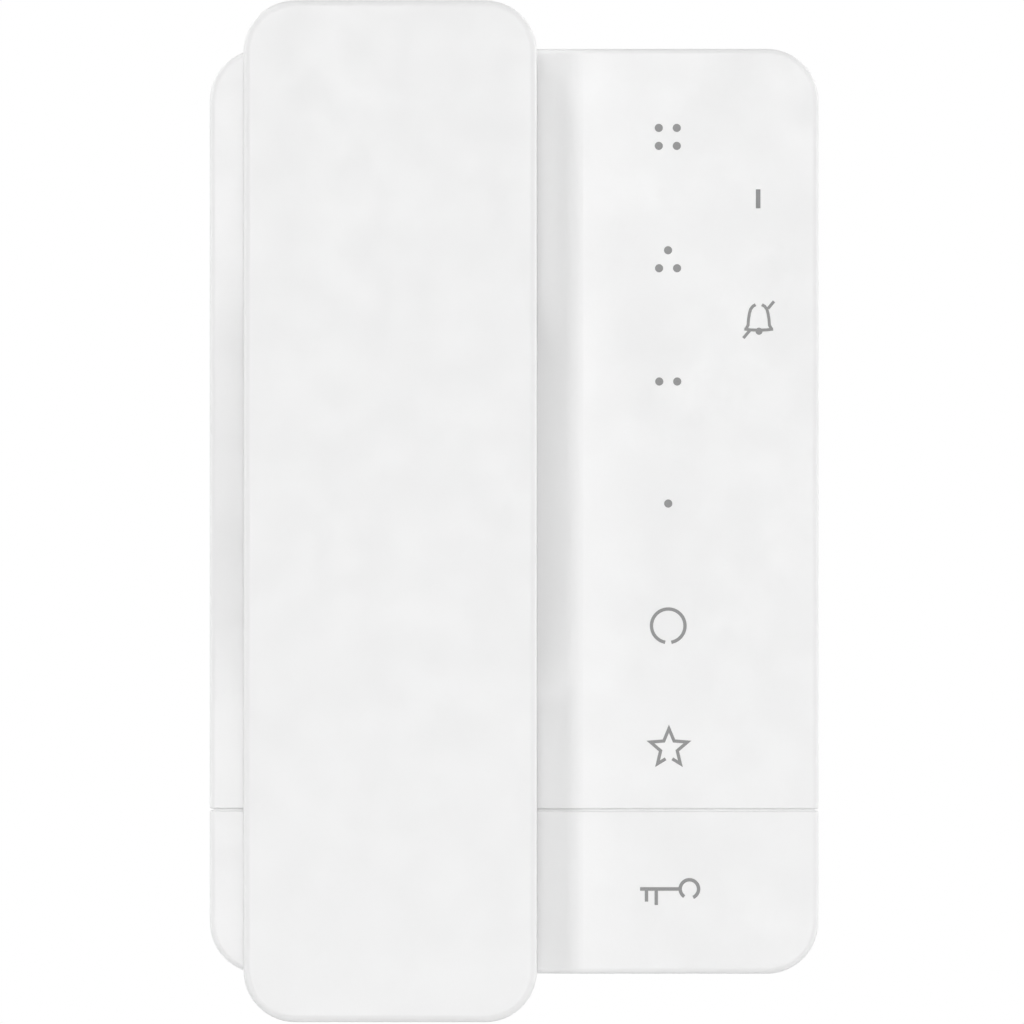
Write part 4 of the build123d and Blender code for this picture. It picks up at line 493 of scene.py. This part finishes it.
# Flat shapes printed or laid on a face, in millimetres across (X) and up (Z)
SHARPEST_MITRE = 0.3
SAME_POINT = 1e-5


def circle(middle, radius, steps=36):
    turns = [2 * pi * i / steps for i in range(steps)]
    return [(middle[0] + radius * cos(t), middle[1] + radius * sin(t)) for t in turns]


def arc(middle, radius, start, end, steps=48):
    """Points from one angle to another, in degrees counted from +X."""
    turns = [radians(start + (end - start) * i / steps) for i in range(steps + 1)]
    return [(middle[0] + radius * cos(t), middle[1] + radius * sin(t)) for t in turns]


def bar(left, low, right, high):
    return [(left, low), (right, low), (right, high), (left, high)]


def band(points, width):
    """One outline round a line of that width, mitred at its corners."""
    points = [Vector(p) for p in points]
    left, right = [], []
    for i, here in enumerate(points):
        runs = [(here - points[i - 1]).normalized()] if i else []
        runs += [(points[i + 1] - here).normalized()] if i < len(points) - 1 else []
        along = sum(runs, Vector((0, 0))).normalized()
        across = Vector((-along.y, along.x))
        mitre = across.dot(Vector((-runs[0].y, runs[0].x)))
        reach = width / 2 / max(SHARPEST_MITRE, mitre)
        left.append(here + across * reach)
        right.append(here - across * reach)
    return left + right[::-1]


def track(points, width, round_ends=False):
    """A line of that width with round corners, as outlines that overlap."""
    shapes = [band(pair, width) for pair in zip(points, points[1:])]
    shapes += [circle(p, width / 2, 16) for p in points[1:-1]]
    if round_ends:
        shapes += [circle(p, width / 2, 16) for p in (points[0], points[-1])]
    return shapes


def moved(shapes, middle):
    return [[(p[0] + middle[0], p[1] + middle[1]) for p in shape] for shape in shapes]


def laid_flat(name, body, shapes, face, thickness, material):
    """The shapes joined where they cross, as one flat layer on the face at that Y. The layer
    stands towards the wall, or towards the front where its thickness is negative."""
    points, loops = [], []
    for shape in shapes:
        area = sum(a[0] * b[1] - b[0] * a[1] for a, b in zip(shape, shape[1:] + shape[:1]))
        loops.append(list(range(len(points), len(points) + len(shape))))
        points += [Vector(p) for p in (shape if area > 0 else shape[::-1])]
    places, _, faces, _, _, owners = delaunay_2d_cdt(points, [], loops, 1, SAME_POINT)
    mesh = bmesh.new()
    corners = [mesh.verts.new((p.x * MM, (face + thickness) * MM, p.y * MM)) for p in places]
    for corner_ids, owner in zip(faces, owners):
        if owner:
            mesh.faces.new([corners[i] for i in corner_ids])
    made = bmesh.ops.extrude_face_region(mesh, geom=mesh.faces[:])
    foot = [v for v in made["geom"] if isinstance(v, bmesh.types.BMVert)]
    bmesh.ops.translate(mesh, vec=(0, -thickness * MM, 0), verts=foot)
    unused = [v for v in mesh.verts if not v.link_faces]
    bmesh.ops.delete(mesh, geom=unused, context="VERTS")
    bmesh.ops.recalc_face_normals(mesh, faces=mesh.faces[:])
    layer = bpy.data.meshes.new(name)
    mesh.to_mesh(layer)
    mesh.free()
    layer.materials.append(material)
    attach(placed(name, layer), body)


# The signs on the touch panel and on the door key
PRINT_THICKNESS = -0.05
LINE = 0.58
DOT_RADIUS = 0.71
DOT_STEP = 3.13
RING_RADIUS = 2.92
RING_GAP = 1.06
STAR_CORNERS = 10
STAR_RADIUS = 3.38
STAR_SHARE = 0.45
STAR_GAP = 1.16
STAR_LINE = 0.555
BELL_LINE = 0.52
BELL_INSET = 3.4
BELL_Z = 33.35
CLAPPER_MIDDLE = (0.05, -2.0)
CLAPPER_RADIUS = 0.62
KEY_BOW_X = 3.61
KEY_BOW_RADIUS = 1.6
KEY_BOW_ARC = (-66, 236)
KEY_LINE = 0.6
KEY_SHAFT = ((-4.975, 0), (2.1, 0))
KEY_SHAFT_WIDTH = 0.62
KEY_TEETH = ((-3.86, -2.2), (-2.16, -2.8))
KEY_TOOTH_WIDTH = 0.59
KEY_SHIFT = 0.12
KEY_Z = -65.74
PAD_HALF = 5
SIGN_ROWS = 6

# How far right of its pad's middle and above it each row's sign is printed, from the top row down
SIGN_SHIFTS = (
    (-0.03, 0.19), (0.02, 0.14), (0.05, 0.10), (0.05, 0.10), (0.05, 0.07), (0.17, 0.03))

panel_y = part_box("front_fascia")[0].y / MM
pads_low, pads_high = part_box("touch_electrodes")
column_x = pads_low.x / MM + PAD_HALF
top_z = pads_high.z / MM - PAD_HALF
bottom_z = pads_low.z / MM + PAD_HALF
rows = [top_z + (bottom_z - top_z) * i / (SIGN_ROWS - 1) for i in range(SIGN_ROWS)]

half = DOT_STEP / 2
dots = {
    "sign_four": [(x, z) for x in (-half, half) for z in (-half, half)],
    "sign_three": [(0, half), (-half, -half), (half, -half)],
    "sign_two": [(-half, 0), (half, 0)],
    "sign_one": [(0, 0)],
}
gap_angle = RING_GAP / 2 / RING_RADIUS * 180 / pi
ring = band(arc((0, 0), RING_RADIUS, -90 + gap_angle, 270 - gap_angle, 64), LINE)

# The star's line starts and ends at its lowest notch, where it leaves a gap
tips = []
for i in range(STAR_CORNERS + 1):
    angle = radians(-90 + 360 / STAR_CORNERS * i)
    radius = STAR_RADIUS * (STAR_SHARE if i % 2 == 0 else 1)
    tips.append(Vector((radius * cos(angle), radius * sin(angle))))
for end, beside in ((0, 1), (-1, -2)):
    run = tips[beside] - tips[end]
    tips[end] = tips[end] + run * (STAR_GAP / 2 / abs(run.x))
star = band(tips, STAR_LINE)

bell_side = [(-0.55, 2.62), (-1.05, 2.33), (-1.42, 1.82), (-1.62, 1.1), (-1.78, 0.1),
             (-1.86, -0.95), (-2.2, -1.58)]
bell_rim = [(-2.5, -1.62), (-1.5, -1.76), (0, -1.82), (1.5, -1.76), (2.5, -1.62)]
upper_stroke = [(1.62, 1.95), (2.66, 3.2)]
lower_stroke = [(-2.68, -3.2), (-1.5, -1.8)]
bell_lines = (bell_side, [(-x, z) for x, z in bell_side], bell_rim, upper_stroke, lower_stroke)
bell = [shape for line in bell_lines for shape in track(line, BELL_LINE)]
bell += [circle(CLAPPER_MIDDLE, CLAPPER_RADIUS)]

key = [band(KEY_SHAFT, KEY_SHAFT_WIDTH)]
key += [band(arc((KEY_BOW_X, 0), KEY_BOW_RADIUS, *KEY_BOW_ARC), KEY_LINE)]
key += [band([(x, 0), (x, low)], KEY_TOOTH_WIDTH) for x, low in KEY_TEETH]

signs = {name: [circle(p, DOT_RADIUS) for p in spots] for name, spots in dots.items()}
signs.update(sign_ring=[ring], sign_star=[star])
ink = printed_ink("sign_ink", grain=0.12, dark=0.265, light=0.30, dullest=0.62)
prints = [(name, "base", shapes, (column_x + right, row + up))
          for (name, shapes), row, (right, up) in zip(signs.items(), rows, SIGN_SHIFTS)]
prints += [("sign_bell", "base", bell, (pads_high.x / MM - BELL_INSET, BELL_Z)),
           ("sign_key", "door_key", key, (column_x + KEY_SHIFT, KEY_Z))]
for name, body, shapes, middle in prints:
    laid_flat(name, body, moved(shapes, middle), panel_y, PRINT_THICKNESS, ink)


# The main board's back, which shows in the cable window: tracks, white outlines and solder joints
TRACK_THICKNESS = 0.035
OUTLINE_THICKNESS = 0.02
OUTLINE_WIDTH = 0.18
OUTLINE_MARGIN = 0.7
HEADER_PITCH = 2.54
LANE_STEP = 0.9
FINE_TRACK = 0.4
JUMPER_TRACK = 0.5
WIRE_TRACK = 0.6
BRANCH_TRACK = 0.8
BUS_TRACK = 1.3
JOINT_RADIUS = 1.0
PIN_RADIUS = 0.9
VIA_RADIUS = 0.55

# UP counts from the middle of the part where a track starts, RIGHT from the header's right pins
TERMINAL_PINS_UP = 4
JUMPER_PINS_UP = 3
FIRST_TURN_UP = 11
FIRST_LEVEL_UP = 4.3
FIRST_LANE_RIGHT = 3.6
LANES_END_Z = -25
CORNER = 0.6
PIN_STUB = 0.8
WIRE_LANE_X = -18.0
WIRE_LANE_STEP = 1.4
WIRE_CORNER = 1.5
WIRE_LANES_END_Z = 24
POLE_MARK_Z = -14.0

back_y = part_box("main_board")[1].y / MM
terminals = middle_of("bus_terminal_block")
jumpers = middle_of("configurator_socket")
header = middle_of("board_socket")
header_rows = [header.z + HEADER_PITCH * i for i in (-2, -1, 0, 1, 2)]
header_left = header.x - HEADER_PITCH / 2
header_right = header.x + HEADER_PITCH / 2
header_pins = [(x, row) for x in (header_left, header_right) for row in header_rows]
wire_joints = [(-25.0, 9.0), (-25.0, 13.0)]
pole_xs = (-7.5, -2.5, 2.5, 7.5)
jumper_xs = (-10, -6, -2, 2, 6, 10)

# From the terminals' poles to the jumpers, and from these to the header's left pins
tracks = []
for pole_x, jumper_x in zip(pole_xs, jumper_xs[1:5]):
    turn = terminals.z + FIRST_TURN_UP
    tracks += track(
        [(pole_x, terminals.z + TERMINAL_PINS_UP), (pole_x, turn),
         (jumper_x, turn + abs(pole_x - jumper_x)), (jumper_x, jumpers.z - JUMPER_PINS_UP)],
        JUMPER_TRACK)
for i, (jumper_x, row) in enumerate(zip(jumper_xs[:0:-1], header_rows)):
    level = jumpers.z + FIRST_LEVEL_UP + LANE_STEP * i
    stub = header_left - PIN_STUB
    tracks += track(
        [(jumper_x, jumpers.z + JUMPER_PINS_UP), (jumper_x, level - CORNER),
         (jumper_x + CORNER, level), (stub - abs(level - row), level), (stub, row),
         (header_left, row)], FINE_TRACK)

# From the header's right pins down the board, and from the poles to both sides
for i, row in enumerate(header_rows):
    lane = header_right + FIRST_LANE_RIGHT + LANE_STEP * i
    tracks += track(
        [(header_right, row), (lane - CORNER, row), (lane, row - CORNER),
         (lane, LANES_END_Z - i)], FINE_TRACK)
tracks += track([(-7.5, -12), (-7.5, -15), (-11, -18.5), (-32, -18.5)], BUS_TRACK)
tracks += track([(-2.5, -12), (-2.5, -16.5), (-6.5, -20.5), (-33, -20.5)], BUS_TRACK)
tracks += track([(2.5, -12), (2.5, -17), (8.5, -23), (8.5, -26)], BRANCH_TRACK)
tracks += track([(7.5, -12), (7.5, -14.5), (11.5, -18.5), (22, -18.5)], BRANCH_TRACK, True)

# From the two wire joints up the board; rings round joints and pins; vias; a field of copper
for i, (x, z) in enumerate(wire_joints):
    lane = WIRE_LANE_X + WIRE_LANE_STEP * i
    tracks += track(
        [(x, z), (lane - WIRE_CORNER, z), (lane, z + WIRE_CORNER),
         (lane, WIRE_LANES_END_Z + i)], WIRE_TRACK)
tracks += [circle(p, JOINT_RADIUS, 24) for p in wire_joints]
tracks += [circle(p, PIN_RADIUS, 24) for p in header_pins]
vias = [(13.5, -6.0), (15.5, 2.0), (-15.0, -9.5), (22.0, -18.5), (16.5, -13.0), (11.0, 3.5)]
tracks += [circle(p, VIA_RADIUS, 20) for p in vias]
tracks += track([vias[0], (13.5, -10), vias[4]], FINE_TRACK)
tracks += track([vias[1], (14, 3.5), vias[5]], FINE_TRACK)
tracks += [[(-30, -14.5), (-14, -14.5), (-12.5, -13), (-12.5, -3), (-15, -0.5), (-15, 3.2),
            (-17, 5.2), (-30, 5.2)]]
laid_flat("board_tracks", "base", tracks, back_y, TRACK_THICKNESS, masked_copper())


def frame_lines(node, margin, width):
    """The four lines of a rectangle printed round that node."""
    lows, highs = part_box(node)
    left, right = lows.x / MM - margin, highs.x / MM + margin
    low, high = lows.z / MM - margin, highs.z / MM + margin
    return [bar(left, low, right, low + width), bar(left, high - width, right, high),
            bar(left, low, left + width, high), bar(right - width, low, right, high)]


# Frames round two parts, an arrow, and a dash or a dot at each pole
outlines = frame_lines("bus_terminal_block", OUTLINE_MARGIN, OUTLINE_WIDTH)
outlines += frame_lines("configurator_socket", OUTLINE_MARGIN, OUTLINE_WIDTH)
outlines += [[(-15.6, 12.4), (-14.4, 13.1), (-15.6, 13.8)]]
for i, pole_x in enumerate(pole_xs):
    dash = bar(pole_x - 0.5, POLE_MARK_Z - 0.1, pole_x + 0.5, POLE_MARK_Z + 0.1)
    outlines += [circle((pole_x, POLE_MARK_Z), 0.34, 16) if i % 2 else dash]
board_ink = printed_ink("board_ink", grain=0.2, dark=0.72, light=0.84, dullest=0.65)
laid_flat(
    "board_outlines", "base", outlines, back_y + TRACK_THICKNESS, OUTLINE_THICKNESS, board_ink)

SOLDER_PAD = 0.8
SOLDER_PIN = 0.32
SOLDER_HEIGHT = 1.15
SOLDER_SIDES = 20
SOLDER_RINGS = 7
SOLDER_HOLLOW = 2.4


def solder_tree():
    """Puts a joint on each point: a hollow cone of solder that rises from its pad to the pin's
    tip."""
    group = bpy.data.node_groups.new("solder_joints", "GeometryNodeTree")
    sizes = {"Pad": SOLDER_PAD * MM, "Pin": SOLDER_PIN * MM, "Height": SOLDER_HEIGHT * MM}
    kinds = {"Points": "Geometry", **{name: "Float" for name in sizes}, "Metal": "Material"}
    for name, kind in kinds.items():
        group.interface.new_socket(name, in_out="INPUT", socket_type="NodeSocket" + kind)
    group.interface.new_socket("Joints", in_out="OUTPUT", socket_type="NodeSocketGeometry")
    tree = Tree(group)
    given = tree.node("NodeGroupInput")
    post = tree.node("GeometryNodeMeshCylinder", None, Vertices=SOLDER_SIDES,
                     Side_Segments=SOLDER_RINGS, Radius=1.0, Depth=1.0)
    x, y, z = tree.split(tree.node("GeometryNodeInputPosition"))
    rise = z + 0.5
    radius = given["Pin"] + (given["Pad"] - given["Pin"]) * (1 - rise) ** SOLDER_HOLLOW
    place = tree.node(
        "ShaderNodeCombineXYZ", None, x * radius, rise * given["Height"], 0 - y * radius)
    cone = tree.node("GeometryNodeSetPosition", None, Geometry=post, Position=place)
    smooth = tree.node("GeometryNodeSetShadeSmooth", None, Geometry=cone, Shade_Smooth=True)
    copies = tree.node(
        "GeometryNodeInstanceOnPoints", None, Points=given["Points"], Instance=smooth)
    solid = tree.node("GeometryNodeRealizeInstances", None, Geometry=copies)
    dressed = tree.node("GeometryNodeSetMaterial", None, Geometry=solid, Material=given["Metal"])
    tree.node("NodeGroupOutput", None, dressed)
    return group, sizes


def made_plain(name, body, source, group, values):
    """The piece that the tree grows on the source, as a plain mesh that moves with that body."""
    modifier = source.modifiers.new("grow", "NODES")
    modifier.node_group = group
    for item in group.interface.items_tree:
        if item.in_out == "INPUT" and item.name in values:
            modifier[item.identifier] = values[item.name]
    bpy.context.view_layer.update()
    ready = source.evaluated_get(bpy.context.evaluated_depsgraph_get())
    grown = bpy.data.meshes.new_from_object(ready)
    bpy.data.objects.remove(source)
    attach(placed(name, grown), body)


solder = bare_metal("solder", roughness=0.24, grain=0.3, colour=SOLDER_TIN)
joint_y = (back_y + TRACK_THICKNESS) * MM
points = bpy.data.meshes.new("joint_points")
points.from_pydata([(x * MM, joint_y, z * MM) for x, z in header_pins + wire_joints], [], [])
group, sizes = solder_tree()
made_plain("solder_joints", "base", placed("joint_points", points), group,
           dict(sizes, Metal=solder))


# Stage: a pale floor that keeps the object's shadow, white in the camera and in reflections
AMBIENT = 0.1
WHITE = (1, 1, 1, 1)
FLOOR_Z = -0.15
FLOOR_HALF = 1.6
FLOOR_ROUGHNESS = 0.9
FLOOR_LIFT = 0.48


def seen_rays(tree):
    """1 for the rays of the camera, of reflections and of clear things, and 0 for the others."""
    rays = tree.node("ShaderNodeLightPath")
    mirrored = rays.maths("MAXIMUM", rays["Is Glossy Ray"], rays["Is Transmission Ray"])
    return rays.maths("MAXIMUM", rays["Is Camera Ray"], mirrored)


def pale_floor():
    """Paper on its upper side, white where no shadow falls; clear from below, for low views."""
    finish = Finish("floor_paper", Roughness=FLOOR_ROUGHNESS)
    paper = finish.blend(finish.noise(60, 3), grey(0.84), grey(0.86))
    finish.put(Base_Color=paper)
    lit = finish.node(
        "ShaderNodeBsdfPrincipled", None, Base_Color=paper, Roughness=FLOOR_ROUGHNESS,
        Emission_Color=WHITE, Emission_Strength=FLOOR_LIFT)
    upper_side = finish.node(
        "ShaderNodeMixShader", None, seen_rays(finish), finish.surface, lit)
    below = finish.node("ShaderNodeNewGeometry")["Backfacing"]
    clear = finish.node("ShaderNodeBsdfTransparent")
    finish.show(finish.node("ShaderNodeMixShader", None, below, upper_side, clear))
    return finish.material


floor_mesh = bpy.data.meshes.new("floor")
floor_corners = bar(-FLOOR_HALF, -FLOOR_HALF, FLOOR_HALF, FLOOR_HALF)
floor_mesh.from_pydata([(x, y, FLOOR_Z) for x, y in floor_corners], [], [(0, 1, 2, 3)])
floor_mesh.materials.append(pale_floor())
floor = placed("floor", floor_mesh)

world = bpy.data.worlds.new("studio")
bpy.context.scene.world = world
world.use_nodes = True
world.node_tree.nodes.clear()
sky = Tree(world.node_tree)
soft = sky.node("ShaderNodeBackground", None, Color=WHITE, Strength=AMBIENT)
white = sky.node("ShaderNodeBackground", None, Color=WHITE, Strength=1.0)
seen = sky.node("ShaderNodeMixShader", None, seen_rays(sky), soft, white)
sky.node("ShaderNodeOutputWorld", None, seen)

# Each lamp is a disc that looks at the origin: its place and width in metres, its power in watts
LAMPS = {
    "front_light": ((0.0, -7.9, 1.2), 0.22, 236),
    "right_light": ((1.72, -2.13, 0.58), 0.6, 11),
    "left_side_light": ((-2.76, 0.1, 0.39), 0.8, 18),
    "right_side_light": ((2.74, 0.45, 0.39), 0.8, 18),
    "upper_light": ((-1.21, -0.7, 2.42), 0.8, 14),
    "top_light": ((0.4, -0.3, 2.75), 0.8, 9),
    "left_back_light": ((-1.9, 1.7, 1.2), 1.4, 14),
    "right_back_light": ((1.9, 1.7, 1.2), 1.4, 14),
}
for name, (place, width, power) in LAMPS.items():
    disc = bpy.data.lights.new(name, "AREA")
    disc.shape = "DISK"
    disc.size = width
    disc.energy = power
    lamp = placed(name, disc)
    lamp.location = place
    lamp.rotation_mode = "QUATERNION"
    lamp.rotation_quaternion = (-Vector(place)).to_track_quat("-Z", "Y")
    lamp.visible_camera = False
